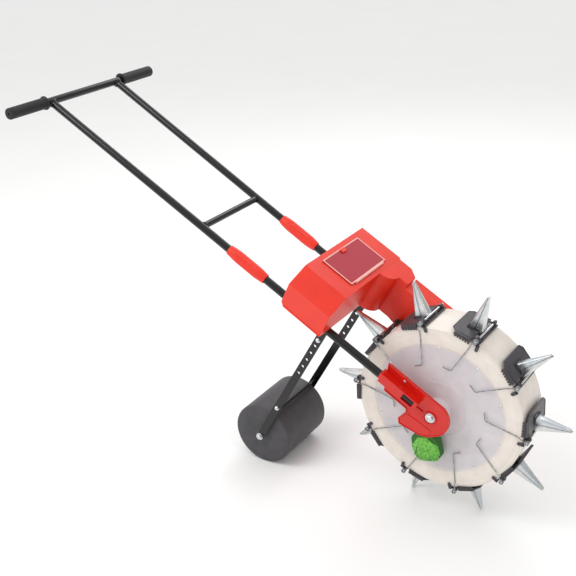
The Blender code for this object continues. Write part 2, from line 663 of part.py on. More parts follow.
def make_handle():
    """The cross bar, its two grips and the brace between the handle tubes."""
    centre = on_frame(BAR_STATION, 0, 0)
    across = Vector((0, 1, 0))
    bar = rod(centre - across * BAR_HALF, centre + across * BAR_HALF, TUBE_RADIUS, 16, TUBE_RADIUS - TUBE_WALL)
    add_part("handle_bar", bar, "black_enamel")
    end = BAR_HALF + FIT
    cap = end + GRIP_CAP
    start = BAR_HALF + GRIP_CAP - GRIP_LENGTH
    bore = TUBE_RADIUS + RUNNING_FIT
    flange = GRIP_RADIUS + GRIP_FLANGE
    chamfer = GRIP_CAP / 2
    profile = [(bore, start), (flange, start), (flange, start + GRIP_FLANGE),
               (GRIP_RADIUS, start + 1.3 * GRIP_FLANGE), (GRIP_RADIUS, cap - chamfer),
               (GRIP_RADIUS - chamfer, cap), (GRIP_VENT, cap), (GRIP_VENT, end), (bore, end)]
    for side, label in ((-1, "near"), (1, "far")):
        add_part("grip_" + label, lathe(profile, centre, (0, side, 0), 16), "rubber")
    reach = spread(BRACE_STATION) - TUBE_RADIUS - 3 * FIT
    middle = on_frame(BRACE_STATION, 0, 0)
    brace = rod(middle - across * reach, middle + across * reach, BRACE_RADIUS, 14, BRACE_RADIUS - TUBE_WALL)
    add_part("cross_brace", brace, "black_enamel")


def bracket_outline():
    """Side view of a hub bracket: an arm along the tube, a round nose and a flared skirt."""
    nose_x, nose_z = AXLE_ON_TUBE
    outline = [(TUBE_FRONT - SOCKET_LENGTH, BRACKET_TOP)]
    for step in range(NOSE_STEPS + 1):
        angle = NOSE_START - step * (NOSE_START - NOSE_END) / NOSE_STEPS
        outline.append((nose_x + NOSE_RADIUS * math.cos(angle), nose_z + NOSE_RADIUS * math.sin(angle)))
    outline += [(nose_x + x, nose_z + z) for x, z in SKIRT_OUTLINE]
    outline.append((TUBE_FRONT - SOCKET_LENGTH + BRACKET_SLANT, nose_z + SKIRT_OUTLINE[-1][1]))
    return outline


def make_brackets():
    """Two plastic brackets, each a plate on the shaft with a socket for the lower tube."""
    plate_outer = BRACKET_INNER + PLATE_OF_BRACKET
    overlap = plate_outer - PLATE_OF_BRACKET / 3
    wall = TUBE_RADIUS + SOCKET_WALL
    block_outer = HUB_SPREAD + wall
    rear = TUBE_FRONT - SOCKET_LENGTH
    past = 2 * SOCKET_WALL
    for side, label in ((-1, "near"), (1, "far")):
        plate = prism(bracket_outline(), side * BRACKET_INNER, side * plate_outer, on_frame)
        inner_end = (FACE + BOSS_LENGTH if side < 0 else DUCT_OUTER) + 3 * FIT
        boss = rod(on_wheel(0, side * inner_end, 0), on_wheel(0, side * overlap, 0), BRACKET_BOSS_RADIUS, 16)
        y_low, y_high = sorted((side * block_outer, side * overlap))
        socket = box((rear, y_low, -wall), (TUBE_FRONT + SOCKET_WALL, y_high, wall), on_frame)
        bore = rod(tube_point(side, rear - past), tube_point(side, TUBE_FRONT + RUNNING_FIT),
                   TUBE_RADIUS + RUNNING_FIT, 16)
        hole = rod(on_wheel(0, side * (inner_end - past), 0), on_wheel(0, side * (plate_outer + past), 0),
                   SHAFT_RADIUS + FIT, 16)
        y_low, y_high = sorted((side * HUB_SPREAD, side * (block_outer + past)))
        window = box((TUBE_FRONT - WINDOW_REAR, y_low, -TUBE_RADIUS),
                     (TUBE_FRONT - WINDOW_FRONT, y_high, TUBE_RADIUS), on_frame)
        mesh = combine(plate, extra=[boss, socket], cutters=[bore, hole, window])
        add_part("hub_bracket_" + label, mesh, "red_abs")


def make_brush():
    """The green brush under the near bracket, between its skirt and the wheel."""
    centre_x, centre_z = BRUSH_CENTRE
    tilt = BRUSH_TILT
    corner = BRUSH_CORNER
    outline = []
    for sign_x, sign_z in ((1, -1), (1, 1), (-1, 1), (-1, -1)):
        for step in range(4):
            base = math.atan2(sign_z, sign_x) - math.pi / 4
            angle = base + math.pi / 6 * step
            x = sign_x * (BRUSH_WIDTH / 2 - corner) + corner * math.cos(angle)
            z = sign_z * (BRUSH_HEIGHT / 2 - corner) + corner * math.sin(angle)
            outline.append((centre_x + x * math.cos(tilt) - z * math.sin(tilt),
                            centre_z + x * math.sin(tilt) + z * math.cos(tilt)))
    back = BRACKET_INNER - FIT
    hub = rod(on_wheel(0, -BRACKET_INNER - PLATE_OF_BRACKET, 0), on_wheel(0, -FACE, 0),
              BOSS_RADIUS + BRUSH_HUB_GAP, 16)
    brush = combine(prism(outline, -back, BRUSH_THICKNESS - back, on_wheel), cutters=[hub])
    add_part("seed_brush", brush, "green_nylon")


# ---- hopper, lid and duct ----
def hopper_section(inset, lift=0.0):
    """The hopper's cross section (y, height), shrunk by a wall when inset is set, its floor lifted."""
    slant = inset * 0.5
    right = [(HOPPER_FOOT_HALF - inset, HOPPER_FLOOR + inset + lift),
             (HOPPER_SIDE_HALF - inset, HOPPER_SIDE_TOP - slant),
             (HOPPER_TOP_HALF - slant, HOPPER_TOP - inset)]
    return right + [(-y, height) for y, height in reversed(right)]


def lobe_outline(inset):
    """Plan of the outlet lobe (station, y): it curves forward round the beaks' path."""
    inner = LOBE_INNER + inset
    outer = LOBE_OUTER - inset
    front = LOBE_FRONT - inset
    turn = LOBE_TURN - inset
    root = HOPPER_FRONT - HOPPER_WALL - LOBE_LAP
    curve = []
    for step in range(5):
        angle = math.pi / 2 * step / 4
        curve.append((HOPPER_FRONT + turn * math.sin(angle) - inset, inner - turn * math.cos(angle)))
    return [(root, inner - turn)] + curve + [(front, inner), (front, outer - LOBE_CORNER),
                                             (front - LOBE_CORNER_ALONG, outer), (root, outer)]


def make_hopper():
    """The seed hopper: one shell with a mouth under the lid and an outlet at its far front."""
    def main(inset):
        rear = HOPPER_REAR + inset
        stations = ((rear, HOPPER_HEEL), (rear + HOPPER_HEEL - inset / 2, 0), (HOPPER_FRONT - inset, 0))
        return loft([[on_frame(station, y, height) for y, height in hopper_section(inset, lift)]
                     for station, lift in stations])

    def sump(inset):
        low = HOPPER_FLOOR - SUMP_DEPTH + inset
        high = HOPPER_FLOOR + (2 * inset if inset else FIT)
        rear = HOPPER_FRONT - SUMP_REAR + inset
        front = HOPPER_FRONT + SUMP_FRONT - inset
        outline = [(rear, high), (rear + SUMP_DEPTH / 2, low), (HOPPER_FRONT - inset, low), (front, high)]
        near = LOBE_INNER + FIT
        return prism(outline, near + inset, near + SUMP_WIDTH - inset, on_frame)

    def lobe(inset):
        heights = (HOPPER_FLOOR + FIT + inset, HOPPER_TOP - FIT - inset)
        plan = lobe_outline(inset)
        return loft([[on_frame(station, y, height) for station, y in plan] for height in heights])

    mouth = box((LID_REAR + LID_LIP, -LID_HALF + LID_LIP, HOPPER_TOP - 3 * HOPPER_WALL),
                (LID_FRONT - LID_LIP, LID_HALF - LID_LIP, HOPPER_TOP + HOPPER_WALL), on_frame)
    outlet = box((LOBE_FRONT - 3 * HOPPER_WALL, LOBE_INNER + 2 * HOPPER_WALL, HOPPER_FLOOR + 2 * HOPPER_WALL),
                 (LOBE_FRONT + HOPPER_WALL, DUCT_OUTER - DUCT_WALL, DUCT_TOP - 2 * DUCT_WALL), on_frame)
    cutters = [main(HOPPER_WALL), lobe(HOPPER_WALL), sump(HOPPER_WALL), mouth, outlet]
    add_part("seed_hopper", combine(main(0), extra=[lobe(0), sump(0)], cutters=cutters), "red_abs")


def make_lid():
    """The clear lid with its hinge barrel along the front edge, and the finger tab at its back."""
    low = HOPPER_TOP + FIT
    axis_height = low + LID_BARREL
    hinge = LID_FRONT + LID_BARREL
    reach = LID_HALF * LID_BARREL_SHARE
    panel = box((LID_REAR, -LID_HALF, low), (hinge - LID_BARREL / 3, LID_HALF, low + LID_THICKNESS), on_frame)
    barrel = rod(on_frame(hinge, -reach, axis_height), on_frame(hinge, reach, axis_height), LID_BARREL, 12)
    axis_point = on_frame(hinge, 0, axis_height)
    move_origin(add_part("hopper_lid", combine(panel, extra=[barrel]), "clear_lid"), axis_point)
    deck = low + LID_THICKNESS + FIT
    start = LID_REAR + TAB_THICKNESS / 2
    tab = box((start, -TAB_HALF, deck), (start + TAB_LENGTH, TAB_HALF, deck + TAB_THICKNESS), on_frame)
    move_origin(add_part("lid_tab", tab, "red_abs"), axis_point)


def duct_outline(inset):
    """Side view of the duct (station, height): straight from the hopper, then round the hub."""
    hub_x, hub_z = AXLE_ON_TUBE
    radius = DUCT_HUB_RADIUS - inset
    start = LOBE_FRONT + FIT
    bottom = HOPPER_FLOOR + DUCT_WALL + 3 * FIT + inset
    if inset:
        start -= 2 * LOBE_GAP
    outline = [(start, bottom), (start, DUCT_TOP - inset), (DUCT_TURN_STATION, DUCT_TOP - inset)]
    for step in range(12):
        angle = math.radians(DUCT_TURN_START - DUCT_TURN_STEP * step)
        outline.append((hub_x + radius * math.cos(angle), hub_z + radius * math.sin(angle)))
    return outline[::-1]


def make_duct():
    """The seed duct on the far side, from the hopper's outlet to the wheel's seed windows."""
    outer = prism(duct_outline(0), DUCT_INNER, DUCT_OUTER, on_frame)
    inner = prism(duct_outline(DUCT_WALL), DUCT_INNER + DUCT_WALL, DUCT_OUTER - DUCT_WALL, on_frame)
    start = LOBE_FRONT + FIT
    top = DUCT_TOP - FIT
    lap = DUCT_OUTER - DUCT_WALL / 2
    channel = box((start + FIT, lap, CHANNEL_FLOOR), (CHANNEL_FRONT, CHANNEL_OUTER, top), on_frame)
    channel_room = box((start - 2 * DUCT_WALL, lap - DUCT_WALL, CHANNEL_FLOOR + DUCT_WALL),
                       (CHANNEL_FRONT - DUCT_WALL, CHANNEL_OUTER - DUCT_WALL, top - DUCT_WALL), on_frame)
    feed = rod(on_wheel(0, DUCT_INNER - DUCT_WALL, 0), on_wheel(0, DUCT_OUTER - 2 * DUCT_WALL, 0),
               FEED_OPENING - 2 * DUCT_WALL / 3, 30)
    shaft = rod(on_wheel(0, DUCT_INNER, 0), on_wheel(0, DUCT_OUTER + DUCT_WALL, 0), SHAFT_RADIUS + FIT, 16)
    duct = combine(outer, extra=[channel], cutters=[inner, channel_room, feed, shaft])
    add_part("seed_duct", duct, "red_abs")


# ---- press roller ----
def arm_outer():
    """Where an arm's outer face is across the machine: just inside the tube along its whole width."""
    lean = ARM_WIDTH / 2 * abs((BAR_SPREAD - HUB_SPREAD) / BAR_STATION)
    return spread(ARM_STATION) - TUBE_RADIUS - 2 * FIT - lean


def make_arms():
    """Two perforated flat bars, square to the tubes, that carry the roller."""
    half = ARM_WIDTH / 2
    heel = ROLLER_DROP - half
    top = HOPPER_FLOOR - ARM_THICKNESS / 2
    past = ARM_THICKNESS
    outline = [(ARM_STATION - half, heel + ARM_CHAMFER), (ARM_STATION - half + ARM_CHAMFER, heel),
               (ARM_STATION + half - ARM_CHAMFER, heel), (ARM_STATION + half, heel + ARM_CHAMFER),
               (ARM_STATION + half, top), (ARM_STATION - half, top)]
    holes = [(-ARM_FIRST_HOLE - ARM_HOLE_PITCH * index, ARM_HOLE_RADIUS) for index in range(ARM_HOLES)]
    holes.append((ROLLER_DROP, ROLLER_AXLE_RADIUS + 2 * FIT))
    outer = arm_outer()
    inner = outer - ARM_THICKNESS
    for side, label in ((-1, "near"), (1, "far")):
        bar = prism(outline, side * inner, side * outer, on_frame)
        drills = [rod(on_frame(ARM_STATION, side * (inner - past), drop),
                      on_frame(ARM_STATION, side * (outer + past), drop), radius, 14) for drop, radius in holes]
        add_part("roller_arm_" + label, combine(bar, cutters=drills), "black_enamel")


def make_roller():
    """The hollow press roller, its fixed axle and the scraper plate over it."""
    centre = on_frame(ARM_STATION, 0, ROLLER_DROP)
    bore = ROLLER_AXLE_RADIUS + 5 * RUNNING_FIT
    inside = ROLLER_HALF - ROLLER_WALL
    hollow = ROLLER_RADIUS - ROLLER_WALL
    drum = [(bore, -ROLLER_HALF), (ROLLER_RADIUS, -ROLLER_HALF), (ROLLER_RADIUS, ROLLER_HALF),
            (bore, ROLLER_HALF), (bore, inside), (hollow, inside), (hollow, -inside), (bore, -inside)]
    move_origin(add_part("press_roller", lathe(drum, centre, (0, 1, 0), 36), "grey_plastic"), centre)
    end = spread(ARM_STATION) - TUBE_RADIUS
    tip = end + ROLLER_NUT_LENGTH
    axle = [(0, -tip), (ROLLER_NUT_RADIUS, -tip), (ROLLER_NUT_RADIUS, -end), (ROLLER_AXLE_RADIUS, -end),
            (ROLLER_AXLE_RADIUS, tip), (0, tip)]
    add_part("roller_axle", lathe(axle, centre, (0, 1, 0), 14), "zinc_steel")
    start = ROLLER_DROP + ROLLER_RADIUS + SCRAPER_GAP
    half = arm_outer() - ARM_THICKNESS - FIT
    scraper = box((ARM_STATION, -half, start),
                  (ARM_STATION + SCRAPER_THICKNESS, half, start + SCRAPER_WIDTH), on_frame)
    add_part("roller_scraper", scraper, "black_enamel")


clear_scene()
make_discs()
make_rim()
make_seed_divider()
make_metering_roller()
make_hub()
make_units()
make_tubes()
make_handle()
make_brackets()
make_brush()
make_hopper()
make_lid()
make_duct()
make_arms()
make_roller()
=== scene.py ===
import json
import math
import random

import bmesh
import bpy
from mathutils import Matrix, Vector


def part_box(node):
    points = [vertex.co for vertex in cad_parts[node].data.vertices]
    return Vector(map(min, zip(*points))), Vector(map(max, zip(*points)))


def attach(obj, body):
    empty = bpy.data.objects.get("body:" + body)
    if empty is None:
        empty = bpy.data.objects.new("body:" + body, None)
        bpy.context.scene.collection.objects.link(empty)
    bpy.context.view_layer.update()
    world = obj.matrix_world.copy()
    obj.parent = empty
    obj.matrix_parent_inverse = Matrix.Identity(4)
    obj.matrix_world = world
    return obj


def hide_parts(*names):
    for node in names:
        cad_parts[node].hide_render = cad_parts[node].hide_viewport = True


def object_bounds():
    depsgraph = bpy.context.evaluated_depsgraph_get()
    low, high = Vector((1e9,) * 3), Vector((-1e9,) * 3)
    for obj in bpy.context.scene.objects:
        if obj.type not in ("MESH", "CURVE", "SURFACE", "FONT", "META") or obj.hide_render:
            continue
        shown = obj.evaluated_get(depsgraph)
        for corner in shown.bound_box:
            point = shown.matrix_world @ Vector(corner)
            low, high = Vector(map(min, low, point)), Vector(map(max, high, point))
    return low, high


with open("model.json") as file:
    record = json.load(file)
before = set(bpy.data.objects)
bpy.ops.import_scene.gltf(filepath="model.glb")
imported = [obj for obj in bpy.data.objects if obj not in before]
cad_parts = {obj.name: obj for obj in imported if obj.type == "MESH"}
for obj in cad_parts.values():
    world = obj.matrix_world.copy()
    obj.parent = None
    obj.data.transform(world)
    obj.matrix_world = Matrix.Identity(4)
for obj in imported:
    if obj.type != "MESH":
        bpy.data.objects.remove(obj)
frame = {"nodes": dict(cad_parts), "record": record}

cad_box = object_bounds()

# ==== camera ====
# A long lens stands to the front and right of the wheel, a metre and a quarter above its axle,
# and looks down over the wheel toward the handle.
joint_place = {joint["name"]: Vector(joint["pos_m"]) for joint in frame["record"]["behaviour"]["joints"]}
axle = joint_place["wheel_spin"]
CAMERA_FROM_AXLE = Vector((0.8699, -1.9335, 1.2719))
CAMERA_TURN = (65.647, 3.054, 33.370)
LENS_LENGTH = 60.13

camera = bpy.data.objects.new("camera", bpy.data.cameras.new("camera"))
camera.data.lens = LENS_LENGTH
camera.data.clip_end = 200
camera.location = axle + CAMERA_FROM_AXLE
camera.rotation_euler = [math.radians(angle) for angle in CAMERA_TURN]
bpy.context.scene.collection.objects.link(camera)
bpy.context.scene.camera = camera
bpy.context.scene.view_settings.view_transform = "Standard"


# ==== studio ====
# A white sweep of painted board under soft boxes. The room is darker low down on the right, so bright
# steel has something dark to mirror.
def linear(colour):
    """An sRGB hex colour as linear RGBA."""
    shares = [int(colour[start:start + 2], 16) / 255 for start in (1, 3, 5)]
    return (*[s / 12.92 if s <= 0.04045 else ((s + 0.055) / 1.055) ** 2.4 for s in shares], 1)


def add_node(tree, kind, inputs=None, **settings):
    """Add a shader node with its settings; an input is a plain value or the output that feeds it."""
    node = tree.nodes.new("ShaderNode" + kind)
    for name, value in settings.items():
        setattr(node, name, value)
    for name, value in (inputs or {}).items():
        if isinstance(value, bpy.types.NodeSocket):
            tree.links.new(value, node.inputs[name])
        else:
            node.inputs[name].default_value = value
    return node


ROOM_BRIGHT = 0.98
ROOM_DARK = 0.30
world = bpy.data.worlds.new("studio")
bpy.context.scene.world = world
world.use_nodes = True
world.node_tree.nodes.clear()
heading = add_node(world.node_tree, "TexCoord")
lit_side = add_node(world.node_tree, "VectorMath", {0: heading.outputs["Generated"], 1: (-0.42, 0.10, 0.62)},
                    operation="DOT_PRODUCT")
brightness = add_node(world.node_tree, "MapRange", {"Value": lit_side.outputs["Value"], "From Min": -0.5,
                      "From Max": 0.55, "To Min": ROOM_DARK, "To Max": ROOM_BRIGHT})
room = add_node(world.node_tree, "Background", {"Color": linear("#ffffff"),
                                                "Strength": brightness.outputs["Result"]})
add_node(world.node_tree, "OutputWorld", {"Surface": room.outputs["Background"]})


def add_light(name, place, target, size, power):
    """A square soft box at a place, turned toward a target."""
    light = bpy.data.objects.new(name, bpy.data.lights.new(name, "AREA"))
    light.data.shape = "SQUARE"
    light.data.size = size
    light.data.energy = power
    light.location = place
    light.rotation_euler = (Vector(target) - Vector(place)).to_track_quat("-Z", "Y").to_euler()
    bpy.context.scene.collection.objects.link(light)


add_light("key_light", (-1.6, -1.9, 3.2), (0, 0, 0.3), 1.8, 42)
add_light("back_light", (-0.6, 2.6, 2.6), (0, 0, 0.4), 1.6, 20)
add_light("front_light", (2.6, -1.2, 1.9), (0.3, 0, 0.3), 1.0, 10)


def begin_material(name, values):
    """A material with its shader's plain values; returns it, its node tree and its shader."""
    material = bpy.data.materials.new(name)
    material.use_nodes = True
    shader = material.node_tree.nodes["Principled BSDF"]
    for socket, value in values.items():
        shader.inputs[socket].default_value = value
    return material, material.node_tree, shader


# Painted board: white emulsion rolled on, with a faint unevenness some 400 mm across.
board, tree, shader = begin_material("rolled_white_emulsion", {"Roughness": 0.85, "IOR": 1.5})
coords = add_node(tree, "TexCoord")
cloud = add_node(tree, "TexNoise", {"Vector": coords.outputs["Object"], "Scale": 1 / 0.4, "Detail": 2.0})
tint = add_node(tree, "ValToRGB", {"Fac": cloud.outputs["Fac"]})
tint.color_ramp.elements[0].color = linear("#f7f7f6")
tint.color_ramp.elements[1].color = linear("#fbfbfa")
tree.links.new(tint.outputs["Color"], shader.inputs["Base Color"])
FLOOR_HALF = 40.0
FLOOR_DROP = 0.0005
floor_mesh = bpy.data.meshes.new("floor")
floor_corners = [(-FLOOR_HALF, -FLOOR_HALF, 0), (FLOOR_HALF, -FLOOR_HALF, 0),
                 (FLOOR_HALF, FLOOR_HALF, 0), (-FLOOR_HALF, FLOOR_HALF, 0)]
floor_mesh.from_pydata(floor_corners, [], [(0, 1, 2, 3)])
floor = bpy.data.objects.new("floor", floor_mesh)
floor.data.materials.append(board)
floor.location.z = cad_box[0].z - FLOOR_DROP
bpy.context.scene.collection.objects.link(floor)


# ==== seeding wheel: drum ====
# Two discs and a band moulded in natural white nylon and screwed together. The near disc steps in at
# about four fifths of its radius, and ten small screws sit just inside the step.
def mesh_from(points, faces):
    """A mesh whose faces all point out."""
    work = bmesh.new()
    verts = [work.verts.new(point) for point in points]
    for face in faces:
        work.faces.new([verts[index] for index in face])
    bmesh.ops.recalc_face_normals(work, faces=work.faces)
    mesh = bpy.data.meshes.new("piece")
    work.to_mesh(mesh)
    work.free()
    return mesh


def lathe(profile, origin=(0, 0, 0), axis=(0, -1, 0), sides=64, wave=None):
    """A closed profile of (radius, distance) turned about an axis; wave adds to its radius."""
    axis = Vector(axis).normalized()
    side = axis.cross(Vector((0, 0, 1)) if abs(axis.z) < 0.9 else Vector((1, 0, 0))).normalized()
    other = axis.cross(side)
    points = []
    rings = []
    for radius, distance in profile:
        turns = sides if radius > 0 else 1
        rings.append([len(points) + turn for turn in range(turns)])
        for turn in range(turns):
            angle = 2 * math.pi * turn / sides
            reach = radius + (wave(angle, distance) if wave and radius > 0 else 0)
            points.append(Vector(origin) + axis * distance
                          + reach * (side * math.cos(angle) + other * math.sin(angle)))
    faces = []
    for first, second in zip(rings, rings[1:] + rings[:1]):
        for turn in range(sides):
            corners = [first[turn % len(first)], first[(turn + 1) % len(first)],
                       second[(turn + 1) % len(second)], second[turn % len(second)]]
            face = list(dict.fromkeys(corners))
            if len(face) > 2:
                faces.append(face)
    return mesh_from(points, faces)


def loft(sections, closed=False):
    """Loops with the same number of points, joined in order, then capped or closed into a ring."""
    count = len(sections[0])
    points = [point for section in sections for point in section]
    rows = len(sections) if closed else len(sections) - 1
    faces = [] if closed else [list(range(count)), list(range(len(points) - count, len(points)))]
    for row in range(rows):
        low = row * count
        high = (row + 1) % len(sections) * count
        for index in range(count):
            after = (index + 1) % count
            faces.append([low + index, low + after, high + after, high + index])
    return mesh_from(points, faces)


def joined(meshes):
    """Several meshes as one."""
    work = bmesh.new()
    for mesh in meshes:
        work.from_mesh(mesh)
    result = bpy.data.meshes.new("joined")
    work.to_mesh(result)
    work.free()
    return result


def cut(base, cutters, added=()):
    """The base joined with what is added, and with all cutters taken out of it."""
    body = bpy.data.objects.new("body", base)
    bpy.context.scene.collection.objects.link(body)
    helpers = [body]
    steps = [(mesh, "UNION") for mesh in added] + [(mesh, "DIFFERENCE") for mesh in cutters]
    for mesh, operation in steps:
        helper = bpy.data.objects.new("helper", mesh)
        bpy.context.scene.collection.objects.link(helper)
        helpers.append(helper)
        modifier = body.modifiers.new(operation, "BOOLEAN")
        modifier.operation = operation
        modifier.solver = "EXACT"
        modifier.object = helper
    result = bpy.data.meshes.new_from_object(body.evaluated_get(bpy.context.evaluated_depsgraph_get()))
    for helper in helpers:
        bpy.data.objects.remove(helper)
    return result


def place(name, mesh, material, body, slot, replaced=(), bevel=0.0, at=(0, 0, 0), turn=0.0, sharp=32):
    """Put a finished piece in the scene, riding on its body and standing for its plain CAD nodes."""
    piece = bpy.data.objects.new(name, mesh)
    bpy.context.scene.collection.objects.link(piece)
    piece.location = at
    piece.rotation_euler = (0, turn, 0)
    if not mesh.materials:
        mesh.materials.append(material)
        mesh.shade_smooth()
        mesh.set_sharp_from_angle(angle=math.radians(sharp))
    if bevel:
        edge = piece.modifiers.new("edge", "BEVEL")
        edge.width = bevel
        edge.segments = 2
        edge.limit_method = "ANGLE"
        edge.angle_limit = math.radians(sharp)
        edge.harden_normals = True
    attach(piece, body)
    if replaced:
        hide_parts(*replaced)
    return piece


# Natural nylon, moulded: milky and faintly warm, soft gloss. Inside the step the colour is painted cooler and
# greyer, a painted shade for the dark hollow drum showing through the thin wall. Mottling some 30 mm across
# is the uneven milkiness; the rings are tool marks 2.5 mm apart.
rim_low, rim_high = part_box("wheel_rim")
WHEEL_RADIUS = (rim_high.x - rim_low.x) / 2
FACE = (rim_high.y - rim_low.y) / 2
STEP_RADIUS = 0.174
# Neighbouring surfaces keep this far apart, so that no two of them coincide.
FIT = 0.0003
nylon, tree, shader = begin_material("moulded_natural_nylon", {
    "Roughness": 0.42, "IOR": 1.53, "Subsurface Weight": 0.12, "Subsurface Scale": 0.004})
coords = add_node(tree, "TexCoord")
flat = add_node(tree, "VectorMath", {0: coords.outputs["Object"], 1: (1, 0, 1)}, operation="MULTIPLY")
radius = add_node(tree, "VectorMath", {0: flat.outputs["Vector"]}, operation="LENGTH")
# Inside the step radius the colour turns to a greyer tone: painted shade for the hollow drum seen through the
# thin wall.
band = add_node(tree, "MapRange", {"Value": radius.outputs["Value"], "From Min": STEP_RADIUS - 0.006,
                                   "From Max": STEP_RADIUS + 0.004})
mottle = add_node(tree, "TexNoise", {"Vector": coords.outputs["Object"], "Scale": 1 / 0.03, "Detail": 4.0})
painted_shade_inner_tone = add_node(tree, "ValToRGB", {"Fac": mottle.outputs["Fac"]})
painted_shade_inner_tone.color_ramp.elements[0].position = 0.3
painted_shade_inner_tone.color_ramp.elements[1].position = 0.7
painted_shade_inner_tone.color_ramp.elements[0].color = linear("#cfc9cd")
painted_shade_inner_tone.color_ramp.elements[1].color = linear("#d8d3d5")
outer_tone = add_node(tree, "ValToRGB", {"Fac": mottle.outputs["Fac"]})
outer_tone.color_ramp.elements[0].position = 0.3
outer_tone.color_ramp.elements[1].position = 0.7
outer_tone.color_ramp.elements[0].color = linear("#e2d8cf")
outer_tone.color_ramp.elements[1].color = linear("#ebe3da")
tone = add_node(tree, "Mix", {0: band.outputs["Result"], 6: painted_shade_inner_tone.outputs["Color"],
                              7: outer_tone.outputs["Color"]}, data_type="RGBA")
tree.links.new(tone.outputs[2], shader.inputs["Base Color"])
rings = add_node(tree, "MapRange", {"Value": radius.outputs["Value"], "From Max": 0.0025,
                                    "To Max": 2 * math.pi},
                 clamp=False)
ripple = add_node(tree, "Math", {0: rings.outputs["Result"]}, operation="SINE")
grain = add_node(tree, "TexNoise", {"Vector": coords.outputs["Object"], "Scale": 1 / 0.002, "Detail": 3.0})
relief = add_node(tree, "Math", {0: ripple.outputs["Value"], 1: 0.12, 2: grain.outputs["Fac"]},
                  operation="MULTIPLY_ADD")
bump = add_node(tree, "Bump", {"Height": relief.outputs["Value"], "Strength": 0.25, "Distance": 0.0002})
tree.links.new(bump.outputs["Normal"], shader.inputs["Normal"])

RIM_THICKNESS = 0.004
DISC_THICKNESS = 0.003
STEP_DEPTH = 0.0025
HUB_BORE = 0.014
BOSS_RADIUS = 0.028
BOSS_LENGTH = 0.0175
WHEEL_SIDES = 200
EDGE_ROUND = 0.0015
RING_RADIUS = 0.0736
RING_RISE = 0.0006
GROOVE_INNER = 0.2040
GROOVE_OUTER = 0.2062
GROOVE_DEPTH = 0.0006
outer = WHEEL_RADIUS - RIM_THICKNESS - FIT
middle = FACE - STEP_DEPTH
boss_end = FACE + BOSS_LENGTH
disc_back = middle - DISC_THICKNESS
boss_profile = [(HUB_BORE, boss_end), (BOSS_RADIUS - 0.0015, boss_end), (BOSS_RADIUS, boss_end - 0.0015),
                (BOSS_RADIUS + 0.002, middle + 0.004), (BOSS_RADIUS + 0.0035, middle + 0.001),
                (BOSS_RADIUS + 0.007, middle), (RING_RADIUS - 0.0016, middle),
                (RING_RADIUS - 0.0008, middle + RING_RISE), (RING_RADIUS + 0.0008, middle + RING_RISE),
                (RING_RADIUS + 0.0016, middle)]
step_profile = [(STEP_RADIUS - 0.001, middle), (STEP_RADIUS + 0.0006, middle + 0.0007),
                (STEP_RADIUS + 0.0022, FACE - 0.0005), (STEP_RADIUS + 0.0035, FACE), (GROOVE_INNER, FACE),
                (GROOVE_INNER + GROOVE_DEPTH, FACE - GROOVE_DEPTH),
                (GROOVE_OUTER - GROOVE_DEPTH, FACE - GROOVE_DEPTH), (GROOVE_OUTER, FACE), (outer, FACE),
                (outer, FACE - DISC_THICKNESS), (STEP_RADIUS + 0.004, FACE - DISC_THICKNESS),
                (STEP_RADIUS + 0.001, disc_back)]
near_profile = boss_profile + step_profile + [(HUB_BORE, disc_back)]
place("near_disc", lathe(near_profile, sides=WHEEL_SIDES), nylon, "wheel", "white_nylon", ["wheel_near_disc"],
      at=axle)

FEED_OPENING = 0.062
SPOKE_WIDTH = 0.014
WINDOW_EDGE = 0.009
far_profile = [(HUB_BORE, middle)] + step_profile + [(HUB_BORE, disc_back)]
windows = []
inner = HUB_BORE + WINDOW_EDGE
half_spoke = math.asin(SPOKE_WIDTH / 2 / inner)
for quarter in range(4):
    arc = [half_spoke + quarter * math.pi / 2 + (math.pi / 2 - 2 * half_spoke) * step / 12
           for step in range(13)]
    outline = [(inner * math.cos(a), inner * math.sin(a)) for a in arc]
    outline += [(FEED_OPENING * math.cos(a), FEED_OPENING * math.sin(a)) for a in reversed(arc)]
    windows.append(loft([[(x, y, z) for x, z in outline] for y in (FACE - 0.012, FACE + 0.004)]))
place("far_disc", cut(lathe(far_profile, axis=(0, 1, 0), sides=WHEEL_SIDES), windows), nylon, "wheel",
      "white_nylon", ["wheel_far_disc"], at=axle)

UNITS = 10
PITCH = 2 * math.pi / UNITS
rim_inner = WHEEL_RADIUS - RIM_THICKNESS
rim_profile = [(rim_inner, -FACE), (WHEEL_RADIUS - EDGE_ROUND, -FACE),
               (WHEEL_RADIUS - 0.0004, -FACE + 0.0005),
               (WHEEL_RADIUS, -FACE + EDGE_ROUND), (WHEEL_RADIUS, FACE - EDGE_ROUND),
               (WHEEL_RADIUS - 0.0004, FACE - 0.0005), (WHEEL_RADIUS - EDGE_ROUND, FACE), (rim_inner, FACE)]
SLOT_LEAD = -0.015
SLOT_TRAIL = 0.012
SLOT_HALF_WIDTH = 0.011
slot_section = [(0.2, -SLOT_HALF_WIDTH), (0.23, -SLOT_HALF_WIDTH), (0.23, SLOT_HALF_WIDTH),
                (0.2, SLOT_HALF_WIDTH)]
slots = []
for unit in range(UNITS):
    corners = [(r, y, t) for t in (SLOT_LEAD, SLOT_TRAIL) for r, y in slot_section]
    slot_cutter = loft([corners[:4], corners[4:]])
    slot_cutter.transform(Matrix.Rotation(unit * PITCH, 4, "Y"))
    slots.append(slot_cutter)
place("drum_band", cut(lathe(rim_profile, axis=(0, 1, 0), sides=WHEEL_SIDES), slots), nylon, "wheel",
      "white_nylon", ["wheel_rim"], at=axle)

# The vanes and the pocketed metering roller inside the drum keep their CAD shape, in the same nylon.
for name in ("seed_divider", "metering_roller"):
    frame["nodes"][name].data.materials.clear()
    frame["nodes"][name].data.materials.append(nylon)

